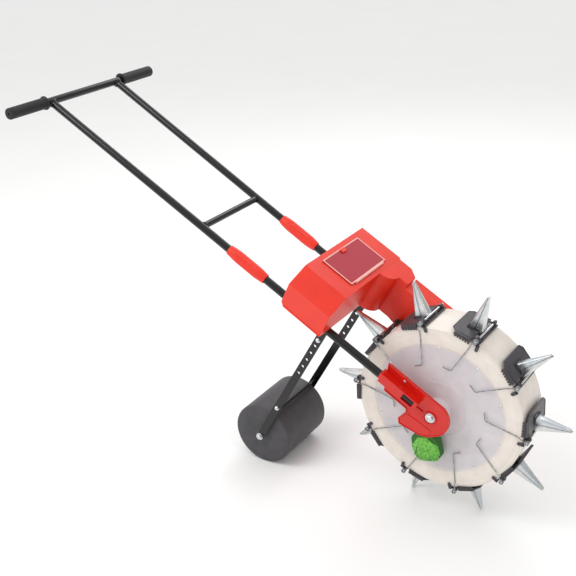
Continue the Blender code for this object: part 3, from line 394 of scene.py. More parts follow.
# Bright zinc plate over steel: a cool mirror broken by fine polishing, with faint blue and straw tints
# that drift over some 25 mm.
zinc, tree, shader = begin_material("bright_zinc_plate", {"Metallic": 1.0})
coords = add_node(tree, "TexCoord")
drift = add_node(tree, "TexNoise", {"Vector": coords.outputs["Object"], "Scale": 1 / 0.025, "Detail": 3.0})
tint = add_node(tree, "ValToRGB", {"Fac": drift.outputs["Fac"]})
tint.color_ramp.elements[0].position = 0.35
tint.color_ramp.elements[1].position = 0.65
tint.color_ramp.elements[0].color = linear("#c4cbd1")
tint.color_ramp.elements[1].color = linear("#dfdedb")
tree.links.new(tint.outputs["Color"], shader.inputs["Base Color"])
polish = add_node(tree, "TexNoise", {"Vector": coords.outputs["Object"], "Scale": 1 / 0.0016, "Detail": 5.0})
gloss = add_node(tree, "MapRange", {"Value": polish.outputs["Fac"], "To Min": 0.16, "To Max": 0.34})
tree.links.new(gloss.outputs["Result"], shader.inputs["Roughness"])
bump = add_node(tree, "Bump", {"Height": polish.outputs["Fac"], "Strength": 0.15, "Distance": 0.0001})
tree.links.new(bump.outputs["Normal"], shader.inputs["Normal"])

# Ten small pan-head screws with a cross recess hold the near disc, one between each two beaks.
SCREW_CIRCLE = 0.1687
SCREW_RADIUS = 0.0032
SCREW_TURN = 0.7
RECESS_HALF_LENGTH = 0.0018
RECESS_HALF_WIDTH = 0.0004
dome = [(0, 0.0016), (0.0012, 0.0015), (0.0024, 0.0009), (SCREW_RADIUS, 0.0), (SCREW_RADIUS, -0.0004),
        (0, -0.0004)]
recess = [(-RECESS_HALF_LENGTH, -RECESS_HALF_WIDTH), (RECESS_HALF_LENGTH, -RECESS_HALF_WIDTH),
          (RECESS_HALF_LENGTH, RECESS_HALF_WIDTH), (-RECESS_HALF_LENGTH, RECESS_HALF_WIDTH)]
arms = []
for turn in (0, math.pi / 2):
    bar = loft([[(x, y, z) for x, z in recess] for y in (-0.003, -0.0010)])
    bar.transform(Matrix.Rotation(turn, 4, "Y"))
    arms.append(bar)
screw_mesh = cut(lathe(dome, sides=20), arms)
for unit in range(UNITS):
    angle = (unit + 0.5) * PITCH
    spot = axle + Vector((SCREW_CIRCLE * math.cos(angle), -middle, SCREW_CIRCLE * math.sin(angle)))
    place("disc_screw_{:02d}".format(unit + 1), screw_mesh, zinc, "wheel", "zinc_steel", at=spot,
          turn=SCREW_TURN * unit)


# ==== duckbill units: black base ====
# Ten bases moulded in black nylon are fixed round the drum. Each has a bar across the band, two lugs
# for the hinge pin, and a rounded tab that hangs over the near disc ahead of the spring.
PIN_LEAD = 0.024
PIN_AT = (joint_place["jaw_open_01"] - axle).x
BASE_LOW = WHEEL_RADIUS + FIT
BASE_HIGH = BASE_LOW + 0.0032
BEAK_HALF_WIDTH = 0.013
EAR_RADIUS = 0.0055
LUG_EDGE = 0.004
LUG_WIDTH = 0.006
LUG_PLAY = 0.0005
COLLAR_REAR = -0.0213
STUD_PLACES = (-0.042, -0.030, 0.030, 0.042)
STUD_HALF = 0.0012
STUD_HEIGHT = 0.0022


def on_unit(radius, y, trail):
    """A point of a unit from its hinge pin, when the unit points along +X."""
    return Vector((radius - PIN_AT, y, trail + PIN_LEAD))


def block(low, high, put=on_unit, shrink=0.0):
    """A box between two corners (radius, y, trail); its far end along the first axis may be smaller."""
    ends = []
    for height, inset in ((low[0], 0.0), (high[0], shrink)):
        ends.append([put(height, low[1] + inset, low[2] + inset),
                     put(height, high[1] - inset, low[2] + inset),
                     put(height, high[1] - inset, high[2] - inset),
                     put(height, low[1] + inset, high[2] - inset)])
    return loft(ends)


def rounded_lug(y_low, y_high, root, tip, trail, half):
    """A lug standing out along the radius with a round end, given its root and its round end's centre."""
    arc = [math.pi * step / 8 for step in range(9)]
    sections = []
    for y in (y_low, y_high):
        outline = [(root, trail + half), (root, trail - half)]
        outline += [(tip + math.copysign(half, tip - root) * math.sin(a),
                     trail - half * math.cos(a)) for a in arc]
        sections.append([on_unit(r, y, t) for r, t in outline])
    return loft(sections)


# Nylon with carbon black, moulded in a spark-eroded tool: dark grey, satin, with a 1 mm leathery grain.
black_nylon, tree, shader = begin_material("moulded_black_nylon", {"IOR": 1.53})
coords = add_node(tree, "TexCoord")
grain = add_node(tree, "TexNoise", {"Vector": coords.outputs["Object"], "Scale": 1 / 0.001, "Detail": 4.0})
patch = add_node(tree, "TexNoise", {"Vector": coords.outputs["Object"], "Scale": 1 / 0.02, "Detail": 2.0})
tint = add_node(tree, "ValToRGB", {"Fac": patch.outputs["Fac"]})
tint.color_ramp.elements[0].position = 0.3
tint.color_ramp.elements[1].position = 0.7
tint.color_ramp.elements[0].color = linear("#343135")
tint.color_ramp.elements[1].color = linear("#413d41")
tree.links.new(tint.outputs["Color"], shader.inputs["Base Color"])
gloss = add_node(tree, "MapRange", {"Value": grain.outputs["Fac"], "To Min": 0.26, "To Max": 0.44})
tree.links.new(gloss.outputs["Result"], shader.inputs["Roughness"])
bump = add_node(tree, "Bump", {"Height": grain.outputs["Fac"], "Strength": 0.5, "Distance": 0.0003})
tree.links.new(bump.outputs["Normal"], shader.inputs["Normal"])

throat = BEAK_HALF_WIDTH - 0.003
pad = BEAK_HALF_WIDTH + 0.004
bar_front = -PIN_LEAD - 0.009
bar_back = -PIN_LEAD + 0.0055
base_parts = [block((BASE_LOW, -FACE + 0.0005, bar_front), (BASE_HIGH, -pad, bar_back)),
              block((BASE_LOW, pad, bar_front), (BASE_HIGH, FACE - 0.0005, bar_back)),
              block((BASE_LOW, -pad, bar_front), (BASE_HIGH, pad, -0.016)),
              block((BASE_LOW, -pad, -0.0159), (BASE_HIGH, -throat, -0.001)),
              block((BASE_LOW, throat, -0.0159), (BASE_HIGH, pad, -0.001))]
collar = BEAK_HALF_WIDTH + 0.003
seat = BEAK_HALF_WIDTH + FIT
collar_top = BASE_HIGH + 0.004
base_parts += [block((BASE_HIGH, -collar, -0.0245), (collar_top, collar, COLLAR_REAR), shrink=0.0006),
               block((BASE_HIGH, -collar, COLLAR_REAR), (collar_top, -seat, -0.002), shrink=0.0006),
               block((BASE_HIGH, seat, COLLAR_REAR), (collar_top, collar, -0.002), shrink=0.0006)]
lug_end = FACE - LUG_EDGE - LUG_WIDTH
for low, high in ((-FACE + LUG_EDGE, -lug_end), (lug_end, FACE - LUG_EDGE)):
    base_parts.append(rounded_lug(low, high, BASE_HIGH - 0.001, PIN_AT, -PIN_LEAD, EAR_RADIUS - 0.0005))
for y in STUD_PLACES:
    base_parts.append(block((BASE_HIGH, y - STUD_HALF, bar_front + 0.002),
                            (BASE_HIGH + STUD_HEIGHT, y + STUD_HALF, bar_back - 0.002), shrink=0.0004))
TAB_LEAD = bar_front + 0.0005
TAB_OUT = FACE + 0.0008
TAB_WALL = 0.003
TAB_CENTRE = 0.2100
TAB_HALF = 0.0042
base_parts.append(rounded_lug(-TAB_OUT - TAB_WALL, -TAB_OUT, BASE_HIGH, TAB_CENTRE, TAB_LEAD, TAB_HALF))
base_parts.append(block((BASE_LOW, -TAB_OUT - TAB_WALL, TAB_LEAD - 0.004),
                        (BASE_HIGH, -FACE + 0.001, TAB_LEAD + 0.006)))
base_mesh = joined(base_parts)

# ==== duckbill units: beak halves ====
# Each half is a channel folded from 2 mm steel sheet and drawn to a blunt tip, zinc plated. A crease down
# its back stiffens it, and a narrow flange runs along each edge where the halves meet.
TIP_RADIUS = 0.318
TIP_HALF = 0.0035
BEAK_TIP_HALF_WIDTH = 0.0045
BEAK_WALL = 0.002
SEAM = 0.0007
BEAK_STATIONS = 14
CORNER_STEPS = 4
FLANGE = 0.0011
RIDGE = 0.0018
FOLD_RADIUS = 0.0034


def beak_half(sign, root, tip, depth):
    """One folded half; sign is -1 for the leading half and 1 for the trailing one."""
    sections = []
    for station in range(BEAK_STATIONS + 1):
        share = station / BEAK_STATIONS
        radius = root + (tip - root) * share
        taper = 1 - share
        flare = 0.10 * max(0.0, 1 - share / 0.09) ** 2
        width = BEAK_TIP_HALF_WIDTH + (BEAK_HALF_WIDTH - BEAK_TIP_HALF_WIDTH) * taper ** 0.92
        back = TIP_HALF + (depth - TIP_HALF) * (taper ** 0.95 + flare)
        width = min(width * (1 + flare * 0.5), BEAK_HALF_WIDTH + 0.0004)
        ridge = RIDGE * math.sin(math.pi * min(1.0, share * 1.15 + 0.1))
        fold = min(FOLD_RADIUS, back * 0.5, width * 0.5)
        line = [(SEAM, -width - FLANGE), (SEAM + 0.0011, -width - FLANGE), (SEAM + 0.0016, -width)]
        for step in range(CORNER_STEPS + 1):
            angle = math.pi / 2 * step / CORNER_STEPS
            line.append((back - fold + fold * math.sin(angle), -width + fold - fold * math.cos(angle)))
        line.append((back + ridge, -0.0007))
        line += [(trail, -y) for trail, y in reversed(line)]
        inside = width - BEAK_WALL
        floor = back - BEAK_WALL
        hollow = max(fold - BEAK_WALL, 0.0005)
        cave = [(SEAM, inside)]
        for step in range(CORNER_STEPS + 1):
            angle = math.pi / 2 * (1 - step / CORNER_STEPS)
            cave.append((max(SEAM + 0.0002, floor - hollow + hollow * math.cos(angle)),
                         inside - hollow + hollow * math.sin(angle)))
        cave += [(trail, -y) for trail, y in reversed(cave)]
        sections.append([on_unit(radius, y, sign * trail) for trail, y in line + cave])
    return loft(sections)


PLATE_STANDOFF = 0.0065
PLATE_SLOPE = -0.02
PLATE_FRONT = 0.013
PLATE_REACH = 0.044
PLATE_CLIP = 0.012
PLATE_THICKNESS = 0.003
FIXED_DEPTH = 0.021
MOVING_DEPTH = 0.017


def plate_underside(trail):
    """Radius of the press plate's underside, a given distance behind the beak's middle."""
    return WHEEL_RADIUS + PLATE_STANDOFF + PLATE_SLOPE * (trail + PLATE_FRONT)


fixed_beak = beak_half(-1, BASE_HIGH, TIP_RADIUS, FIXED_DEPTH)
moving_root = plate_underside(0) + PLATE_THICKNESS - 0.0005
moving_beak = beak_half(1, moving_root, TIP_RADIUS - 0.003, MOVING_DEPTH)
PIN_RADIUS = 0.0026
PIN_PAST = 0.0035
pin_end = 2 * FACE + 0.005
pin_profile = [(0, -PIN_PAST), (0.0020, -PIN_PAST), (PIN_RADIUS, -0.0030), (PIN_RADIUS, 2 * FACE + 0.0045),
               (0.0020, pin_end), (0, pin_end)]
pin_mesh = lathe(pin_profile, (0, FACE - 0.0005, 0), (0, -1, 0), 16)

# ==== duckbill units: press plate ====
# The ground presses this black nylon plate and so opens the beak. It is one moulding with the hinge ears
# and with a row of ribs along its near edge that hangs outside the drum.
plate_half = FACE - 0.0035
notch = BEAK_HALF_WIDTH + 0.0035
mouth = BEAK_HALF_WIDTH - 0.0035
reach = MOVING_DEPTH - 0.005
side = [(-PLATE_FRONT, plate_half), (PLATE_REACH - PLATE_CLIP, plate_half),
        (PLATE_REACH, plate_half - PLATE_CLIP)]
notched = [(reach, mouth), (0.0005, mouth), (0.0005, notch), (-PLATE_FRONT, notch)]
plate_outline = side + [(trail, -y) for trail, y in reversed(side)]
plate_outline += [(trail, -y) for trail, y in reversed(notched)] + notched
plate_parts = [loft([[on_unit(plate_underside(trail) + lift, y, trail) for trail, y in plate_outline]
                     for lift in (0, PLATE_THICKNESS)])]
bead = 0.0016
BEAD_HEIGHT = 0.0009
MITRE = 0.41
edge_line = [(-PLATE_FRONT, plate_half), (PLATE_REACH - PLATE_CLIP, plate_half),
             (PLATE_REACH, plate_half - PLATE_CLIP), (PLATE_REACH, -plate_half + PLATE_CLIP),
             (PLATE_REACH - PLATE_CLIP, -plate_half), (-PLATE_FRONT, -plate_half)]
inner_line = [(-PLATE_FRONT, plate_half - bead), (PLATE_REACH - PLATE_CLIP - bead * MITRE, plate_half - bead),
              (PLATE_REACH - bead, plate_half - PLATE_CLIP - bead * MITRE),
              (PLATE_REACH - bead, -plate_half + PLATE_CLIP + bead * MITRE),
              (PLATE_REACH - PLATE_CLIP - bead * MITRE, -plate_half + bead),
              (-PLATE_FRONT, -plate_half + bead)]
border = edge_line + inner_line[::-1]
plate_parts.append(loft([[on_unit(plate_underside(trail) + lift, y, trail) for trail, y in border]
                         for lift in (PLATE_THICKNESS - 0.0002, PLATE_THICKNESS + BEAD_HEIGHT)]))
collar_low = plate_underside(0) + PLATE_THICKNESS - FIT
collar_high = collar_low + 0.0035
plate_parts += [block((collar_low, -notch - 0.002, 0.0015),
                      (collar_high, -BEAK_HALF_WIDTH - 0.0012, MOVING_DEPTH), shrink=0.0005),
                block((collar_low, BEAK_HALF_WIDTH + 0.0012, 0.0015),
                      (collar_high, notch + 0.002, MOVING_DEPTH), shrink=0.0005),
                block((collar_low + 0.001, -notch - 0.002, MOVING_DEPTH),
                      (collar_high + 0.001, notch + 0.002, MOVING_DEPTH + 0.0026),
                      shrink=0.0005)]
EAR_BORE = 0.0031
ear_out = lug_end - LUG_PLAY
ear_in = ear_out - LUG_WIDTH
for low, high in ((-ear_out, -ear_in), (ear_in, ear_out)):
    ear = lathe([(EAR_BORE, low), (EAR_RADIUS, low), (EAR_RADIUS, high), (EAR_BORE, high)], axis=(0, 1, 0),
                sides=24)
    web_top = plate_underside(-PLATE_FRONT) + PLATE_THICKNESS
    web = block((web_top - 0.0025, low + FIT, -PIN_LEAD + 0.004),
                (web_top + 0.001, high - FIT, -PLATE_FRONT + 0.005))
    plate_parts += [ear, web]
RIB_OUT = FACE + 0.0007
SKIRT_FRONT = -0.011
SKIRT_BACK = PLATE_REACH - PLATE_CLIP
SKIRT_DEPTH = 0.0115
SKIRT_WALL = 0.0034
WEB_DEPTH = 0.0065
skirt_top = plate_underside(SKIRT_FRONT) + FIT
plate_parts.append(block((skirt_top + 0.0001, -RIB_OUT - SKIRT_WALL, SKIRT_FRONT),
                         (skirt_top + 0.0022, -plate_half + 0.001, SKIRT_BACK), shrink=0.0003))
RIBS = 6
RIB_PITCH = (SKIRT_BACK - SKIRT_FRONT) / RIBS
RIB_WIDTH = 0.0050
for rib in range(RIBS):
    start = SKIRT_FRONT + rib * RIB_PITCH
    drop = SKIRT_DEPTH - 0.0004 * rib
    plate_parts.append(block((skirt_top, -RIB_OUT - SKIRT_WALL, start),
                             (skirt_top - drop, -RIB_OUT, start + RIB_WIDTH), shrink=0.0003))
    plate_parts.append(block((skirt_top - WEB_DEPTH, -RIB_OUT - SKIRT_WALL * 0.7, start + RIB_WIDTH),
                             (skirt_top, -RIB_OUT, start + RIB_PITCH)))
wall_half = plate_half - PLATE_CLIP - 0.0025
back_low = plate_underside(PLATE_REACH)
plate_parts.append(block((back_low + 0.001, -wall_half, PLATE_REACH - 0.0025),
                         (back_low - 0.0027, wall_half, PLATE_REACH - FIT), shrink=0.0003))
plate_mesh = joined(plate_parts)


# ==== duckbill units: return spring ====
# Bright steel wire, 2.6 mm, wound on the pin's near end. A short leg lifts the press plate and a long one
# runs in over the disc, where its end turns aside.
def sweep(path, radius, sides=10):
    """A round wire along a path of points."""
    sections = []
    side = None
    for index, point in enumerate(path):
        before = path[max(index - 1, 0)]
        after = path[min(index + 1, len(path) - 1)]
        along = (after - before).normalized()
        if side is None:
            side = along.orthogonal().normalized()
        side = (side - along * side.dot(along)).normalized()
        other = along.cross(side)
        angles = [2 * math.pi * turn / sides for turn in range(sides)]
        sections.append([point + radius * (side * math.cos(a) + other * math.sin(a)) for a in angles])
    return loft(sections)


def bent(corners, radius, steps=5):
    """A path through corner points with each inner corner rounded."""
    path = [corners[0]]
    for before, corner, after in zip(corners, corners[1:], corners[2:]):
        start = corner + (before - corner).normalized() * radius
        stop = corner + (after - corner).normalized() * radius
        for step in range(steps + 1):
            share = step / steps
            path.append(start.lerp(corner, share).lerp(corner.lerp(stop, share), share))
    path.append(corners[-1])
    return path


# Drawn spring steel, bright: a darker mirror than the zinc, with drawing lines along the wire.
spring_steel, tree, shader = begin_material("bright_spring_steel", {"Metallic": 1.0, "Roughness": 0.2})
coords = add_node(tree, "TexCoord")
drawn = add_node(tree, "TexNoise", {"Vector": coords.outputs["Object"], "Scale": 1 / 0.004, "Detail": 3.0})
tint = add_node(tree, "ValToRGB", {"Fac": drawn.outputs["Fac"]})
tint.color_ramp.elements[0].position = 0.35
tint.color_ramp.elements[1].position = 0.65
tint.color_ramp.elements[0].color = linear("#6f7478")
tint.color_ramp.elements[1].color = linear("#b4b9bd")
tree.links.new(tint.outputs["Color"], shader.inputs["Base Color"])

WIRE = 0.0013
COIL_RADIUS = 0.0047
COIL_TURNS = 3.75
COIL_STEPS = 18
SPRING_REACH = 0.122
COIL_PITCH = 0.0027
SHORT_LEG = 0.0055
LEG_BEND = 0.0035
coil_start = -FACE + 0.0035 - WIRE
coil_path = [Vector((-COIL_RADIUS - 0.0004, coil_start, SHORT_LEG))]
coil_points = int(COIL_TURNS * COIL_STEPS)
for step in range(coil_points + 1):
    angle = math.pi + 2 * math.pi * COIL_TURNS * step / coil_points
    coil_path.append(Vector((COIL_RADIUS * math.cos(angle),
                             coil_start - COIL_PITCH * angle / (2 * math.pi) + COIL_PITCH / 2,
                             COIL_RADIUS * math.sin(angle))))
leg_level = -FACE - WIRE - 0.0006
leg = [coil_path[-1], coil_path[-1] + Vector((-0.008, 0.0008, 0.0006)), on_unit(0.205, leg_level, -0.0145),
       on_unit(SPRING_REACH + 0.001, leg_level, 0.0052), on_unit(SPRING_REACH - 0.001, leg_level, 0.027)]
coil_path += bent(leg, LEG_BEND)[1:]
spring_mesh = sweep(coil_path, WIRE)

for unit in range(UNITS):
    angle = -unit * PITCH
    radial = Vector((math.cos(angle), 0, math.sin(angle)))
    trailing = Vector((-math.sin(angle), 0, math.cos(angle)))
    pin = axle + radial * PIN_AT - trailing * PIN_LEAD
    label = "_{:02d}".format(unit + 1)
    fixed = ["fixed_jaw" + label]
    moving = ["moving_jaw" + label]
    place("unit_base" + label, base_mesh, black_nylon, "wheel", "black_nylon", fixed, 0.0005, pin, -angle)
    place("hinge_pin" + label, pin_mesh, zinc, "wheel", "zinc_steel", fixed, 0, pin, -angle)
    place("leading_beak" + label, fixed_beak, zinc, "wheel", "zinc_steel", fixed, 0, pin, -angle)
    place("press_plate" + label, plate_mesh, black_nylon, "jaw" + label, "black_nylon", moving, 0.0005, pin,
          -angle)
    place("trailing_beak" + label, moving_beak, zinc, "jaw" + label, "zinc_steel", moving, 0, pin, -angle)
    place("spring" + label, spring_mesh, spring_steel, "wheel", "zinc_steel", ["return_spring" + label], 0,
          pin, -angle)


# ==== frame tubes ====
# Two pairs of 21 mm steel tubes, black enamelled: the lower ones run from the hub brackets past the
# hopper, the upper ones carry the handle bar, to which they are welded.
TUBE_INCLINE = math.radians(30.6)
ALONG = Vector((math.cos(TUBE_INCLINE), 0, -math.sin(TUBE_INCLINE)))
ABOVE = Vector((math.sin(TUBE_INCLINE), 0, math.cos(TUBE_INCLINE)))
TUBE_RISE = 0.017
TUBE_RADIUS = 0.0105
TUBE_FRONT = -0.036
TUBE_SIDES = 40
HUB_SPREAD = 0.1165
BAR_SPREAD = 0.130
BAR_STATION = -1.317
SLEEVE_STATION = -0.590
tube_origin = axle + Vector((0, 0, TUBE_RISE))


def on_frame(station, y, height):
    """A point given along, across and square above the tube line."""
    return tube_origin + ALONG * station + ABOVE * height + Vector((0, y, 0))


def spread(station):
    """Half the spacing of the two tubes at a station along them."""
    share = (station - TUBE_FRONT) / (BAR_STATION - TUBE_FRONT)
    return HUB_SPREAD + share * (BAR_SPREAD - HUB_SPREAD)


# Stoved black enamel: deep and glossy, with a faint orange peel some 3 mm across.
enamel, tree, shader = begin_material("stoved_black_enamel", {
    "Base Color": linear("#0b0a0c"), "IOR": 1.5, "Roughness": 0.2})
coords = add_node(tree, "TexCoord")
peel = add_node(tree, "TexNoise", {"Vector": coords.outputs["Object"], "Scale": 1 / 0.003, "Detail": 2.0})
bump = add_node(tree, "Bump", {"Height": peel.outputs["Fac"], "Strength": 0.25, "Distance": 0.0002})
tree.links.new(bump.outputs["Normal"], shader.inputs["Normal"])

WELD_BEAD = 0.0028
for side, label in ((-1, "near"), (1, "far")):
    front = on_frame(TUBE_FRONT, side * spread(TUBE_FRONT), 0)
    joint = on_frame(SLEEVE_STATION, side * spread(SLEEVE_STATION), 0)
    top = on_frame(BAR_STATION + TUBE_RADIUS, side * spread(BAR_STATION), 0)
    place("lower_frame_tube_" + label, sweep([joint, front], TUBE_RADIUS, TUBE_SIDES), enamel, "frame",
          "black_enamel", ["lower_tube_" + label], 0.0008)
    place("upper_frame_tube_" + label, sweep([top, joint], TUBE_RADIUS, TUBE_SIDES), enamel, "frame",
          "black_enamel", ["handle_tube_" + label])
    bead = [(TUBE_RADIUS - 0.001, -0.004), (TUBE_RADIUS + WELD_BEAD, -0.004),
            (TUBE_RADIUS + WELD_BEAD * 0.7, 0.0012), (TUBE_RADIUS + 0.0002, 0.0035),
            (TUBE_RADIUS - 0.001, 0.0035)]
    weld = lathe(bead, top, joint - top, 60, lambda angle, distance: 0.0004 * math.sin(18 * angle))
    place("bar_weld_" + label, weld, enamel, "frame", "black_enamel", ["handle_tube_" + label], sharp=60)

# ==== coupling sleeves ====
# A red spindle moulded in ABS covers each joint between the tubes. Ten lengthwise flutes run along its
# belly, and two short screws underneath clamp it.
# Moulded ABS, satin: strong orange red, with a fine spark-eroded grain of half a millimetre.
red_abs, tree, shader = begin_material("moulded_red_abs", {"IOR": 1.54})
coords = add_node(tree, "TexCoord")
flow = add_node(tree, "TexNoise", {"Vector": coords.outputs["Object"], "Scale": 1 / 0.06, "Detail": 2.0})
tint = add_node(tree, "ValToRGB", {"Fac": flow.outputs["Fac"]})
tint.color_ramp.elements[0].position = 0.3
tint.color_ramp.elements[1].position = 0.7
tint.color_ramp.elements[0].color = linear("#e6270a")
tint.color_ramp.elements[1].color = linear("#ee2d0e")
tree.links.new(tint.outputs["Color"], shader.inputs["Base Color"])
grain = add_node(tree, "TexNoise", {"Vector": coords.outputs["Object"], "Scale": 1 / 0.0005, "Detail": 3.0})
gloss = add_node(tree, "MapRange", {"Value": grain.outputs["Fac"], "To Min": 0.36, "To Max": 0.50})
tree.links.new(gloss.outputs["Result"], shader.inputs["Roughness"])
bump = add_node(tree, "Bump", {"Height": grain.outputs["Fac"], "Strength": 0.15, "Distance": 0.0001})
tree.links.new(bump.outputs["Normal"], shader.inputs["Normal"])

SLEEVE_HALF = 0.0625
SLEEVE_RADIUS = 0.016
FLUTES = 10
FLUTE_DEPTH = 0.0016


def flute(angle, distance):
    """How far a flute cuts into the sleeve at an angle round it and a distance along it."""
    fade = max(0.0, 1 - (distance / (SLEEVE_HALF * 0.78)) ** 4)
    return -FLUTE_DEPTH * fade * (0.5 + 0.5 * math.cos(FLUTES * angle)) ** 2


SCREW_STEPS = (-0.030, 0.030)
sleeve_end = TUBE_RADIUS + 0.0022
sleeve_bore = TUBE_RADIUS + 0.0004
for side, label in ((-1, "near"), (1, "far")):
    middle = on_frame(SLEEVE_STATION, side * spread(SLEEVE_STATION), 0)
    heading = (on_frame(TUBE_FRONT, side * spread(TUBE_FRONT), 0) - middle).normalized()
    profile = [(sleeve_bore, -SLEEVE_HALF)]
    for step in range(17):
        share = -1 + step / 8
        belly = math.sin(math.pi / 2 * min(1.0, (1 - abs(share)) / 0.55))
        profile.append((sleeve_end + (SLEEVE_RADIUS - sleeve_end) * belly, share * SLEEVE_HALF))
    profile.append((sleeve_bore, SLEEVE_HALF))
    place("coupling_sleeve_" + label, lathe(profile, middle, heading, 100, flute), red_abs, "frame",
          "red_abs",
          ["tube_sleeve_" + label], sharp=50)
    nubs = [lathe([(0, 0), (0.0048, 0), (0.0048, 0.0032), (0.0036, 0.0042), (0, 0.0042)],
                  middle + heading * step - ABOVE * (SLEEVE_RADIUS - 0.0022), -ABOVE,
                  6) for step in SCREW_STEPS]
    place("sleeve_screws_" + label, joined(nubs), zinc, "frame", "zinc_steel", ["tube_sleeve_" + label],
          sharp=20)

# ==== handle bar, grips and brace ====
# A straight cross bar with a ribbed rubber grip pushed over each end, and a thinner brace welded between
# the tubes halfway up.
bar_middle = on_frame(BAR_STATION, 0, 0)
across = Vector((0, 1, 0))
BAR_HALF = 0.276
place("cross_bar", sweep([bar_middle - across * BAR_HALF, bar_middle + across * BAR_HALF], TUBE_RADIUS,
                         TUBE_SIDES),
      enamel, "frame", "black_enamel", ["handle_bar"])

# Soft black rubber: dull, with a 1.5 mm leathery mould grain.
rubber, tree, shader = begin_material("moulded_black_rubber", {"Base Color": linear("#1b1a1c"), "IOR": 1.52,
                                                              "Roughness": 0.62})
coords = add_node(tree, "TexCoord")
hide = add_node(tree, "TexVoronoi", {"Vector": coords.outputs["Object"], "Scale": 1 / 0.0015})
bump = add_node(tree, "Bump", {"Height": hide.outputs["Distance"], "Strength": 0.35, "Distance": 0.0002})
tree.links.new(bump.outputs["Normal"], shader.inputs["Normal"])

GRIP_LENGTH = 0.130
GRIP_RADIUS = 0.0155
GRIP_FLANGE = 0.0035
GRIP_CAP = 0.004
GRIP_RIBS = 18
grip_start = BAR_HALF + GRIP_CAP - GRIP_LENGTH
grip_end = BAR_HALF + FIT + GRIP_CAP


def grip_wave(angle, distance):
    """Lengthwise ribs along the middle of the grip, fading out toward its flange and its cap."""
    reach = (distance - grip_start - 0.012) / (GRIP_LENGTH - 0.030)
    inside = 1.0 if 0 < reach < 1 else 0.0
    return -0.0009 * inside * (0.5 + 0.5 * math.cos(GRIP_RIBS * angle)) ** 2


grip_bore = TUBE_RADIUS + 0.0004
flange = GRIP_RADIUS + GRIP_FLANGE
grip_profile = [(grip_bore, grip_start), (flange - 0.001, grip_start), (flange, grip_start + 0.001),
                (flange, grip_start + 0.0028), (flange - 0.001, grip_start + 0.0038),
                (GRIP_RADIUS, grip_start + 0.0055), (GRIP_RADIUS, grip_start + 0.0118),
                (GRIP_RADIUS, grip_start + 0.0135), (GRIP_RADIUS, grip_end - 0.018),
                (GRIP_RADIUS, grip_end - 0.0163), (GRIP_RADIUS, grip_end - 0.003),
                (GRIP_RADIUS - 0.0009, grip_end - 0.0009), (GRIP_RADIUS - 0.003, grip_end),
                (0.0036, grip_end),
                (0.0030, grip_end - 0.0006), (0.0030, grip_end - GRIP_CAP), (grip_bore, grip_end - GRIP_CAP)]
for side, label in ((-1, "near"), (1, "far")):
    place("ribbed_grip_" + label, lathe(grip_profile, bar_middle, (0, side, 0), 108, grip_wave), rubber,
          "frame",
          "rubber", ["grip_" + label])

BRACE_STATION = -0.749
BRACE_RADIUS = 0.009
brace_middle = on_frame(BRACE_STATION, 0, 0)
brace_half = spread(BRACE_STATION) - TUBE_RADIUS
brace_parts = [sweep([brace_middle - across * brace_half, brace_middle + across * brace_half], BRACE_RADIUS,
                     36)]
for side in (-1, 1):
    bead = [(BRACE_RADIUS - 0.001, -0.003), (BRACE_RADIUS + 0.0022, -0.003), (BRACE_RADIUS + 0.0004, 0.0028),
            (BRACE_RADIUS - 0.001, 0.0028)]
    brace_parts.append(lathe(bead, brace_middle + across * side * brace_half, (0, -side, 0), 48,
                             lambda angle, distance: 0.0003 * math.sin(16 * angle)))
place("welded_brace", joined(brace_parts), enamel, "frame", "black_enamel", ["cross_brace"], sharp=60)

# ==== hub brackets ====
# A glossy red plastic moulding on each side carries the hub shaft. Its plate has a raised lip round its
# edge, a collar at the shaft, a small screw boss, and a square socket whose window shows the tube.
# Moulded ABS, polished tool: full red, glossy, with long shallow waves some 40 mm across.
gloss_red, tree, shader = begin_material("polished_red_abs", {"IOR": 1.54, "Roughness": 0.2})
coords = add_node(tree, "TexCoord")
flow = add_node(tree, "TexNoise", {"Vector": coords.outputs["Object"], "Scale": 1 / 0.04, "Detail": 2.0})
tint = add_node(tree, "ValToRGB", {"Fac": flow.outputs["Fac"]})
tint.color_ramp.elements[0].position = 0.3
tint.color_ramp.elements[1].position = 0.7
tint.color_ramp.elements[0].color = linear("#cc1408")
tint.color_ramp.elements[1].color = linear("#d61a0b")
tree.links.new(tint.outputs["Color"], shader.inputs["Base Color"])
bump = add_node(tree, "Bump", {"Height": flow.outputs["Fac"], "Strength": 0.2, "Distance": 0.0015})
tree.links.new(bump.outputs["Normal"], shader.inputs["Normal"])

BRACKET_GAP = 0.022
BRACKET_PLATE = 0.006
BRACKET_TOP = 0.034
BRACKET_SLANT = 0.028
BRACKET_BOSS = 0.018
SOCKET_WALL = 0.0035
SOCKET_LENGTH = 0.114
NOSE_RADIUS = 0.0505
NOSE_TOP_ANGLE = 74
NOSE_SWEEP = 114
LIP_WIDTH = 0.0026
LIP_RISE = 0.0022
DUCT_INNER = FACE + 0.0035
DUCT_WIDTH = 0.028
SHAFT_RADIUS = 0.008
bracket_inner = FACE + BOSS_LENGTH + BRACKET_GAP
plate_outer = bracket_inner + BRACKET_PLATE
nose_u = TUBE_RISE * math.sin(TUBE_INCLINE)
nose_v = -TUBE_RISE * math.cos(TUBE_INCLINE)
socket_rear = TUBE_FRONT - SOCKET_LENGTH
bracket_line = [(socket_rear, BRACKET_TOP)]
for step in range(20):
    angle = math.radians(NOSE_TOP_ANGLE - NOSE_SWEEP * step / 19)
    bracket_line.append((nose_u + NOSE_RADIUS * math.cos(angle), nose_v + NOSE_RADIUS * math.sin(angle)))
skirt_line = ((0.025, -0.051), (0.003, -0.065), (-0.053, -0.078), (-0.063, -0.065), (-0.056, -0.035),
              (-0.061, -0.026))
bracket_line += [(nose_u + x, nose_v + z) for x, z in skirt_line]
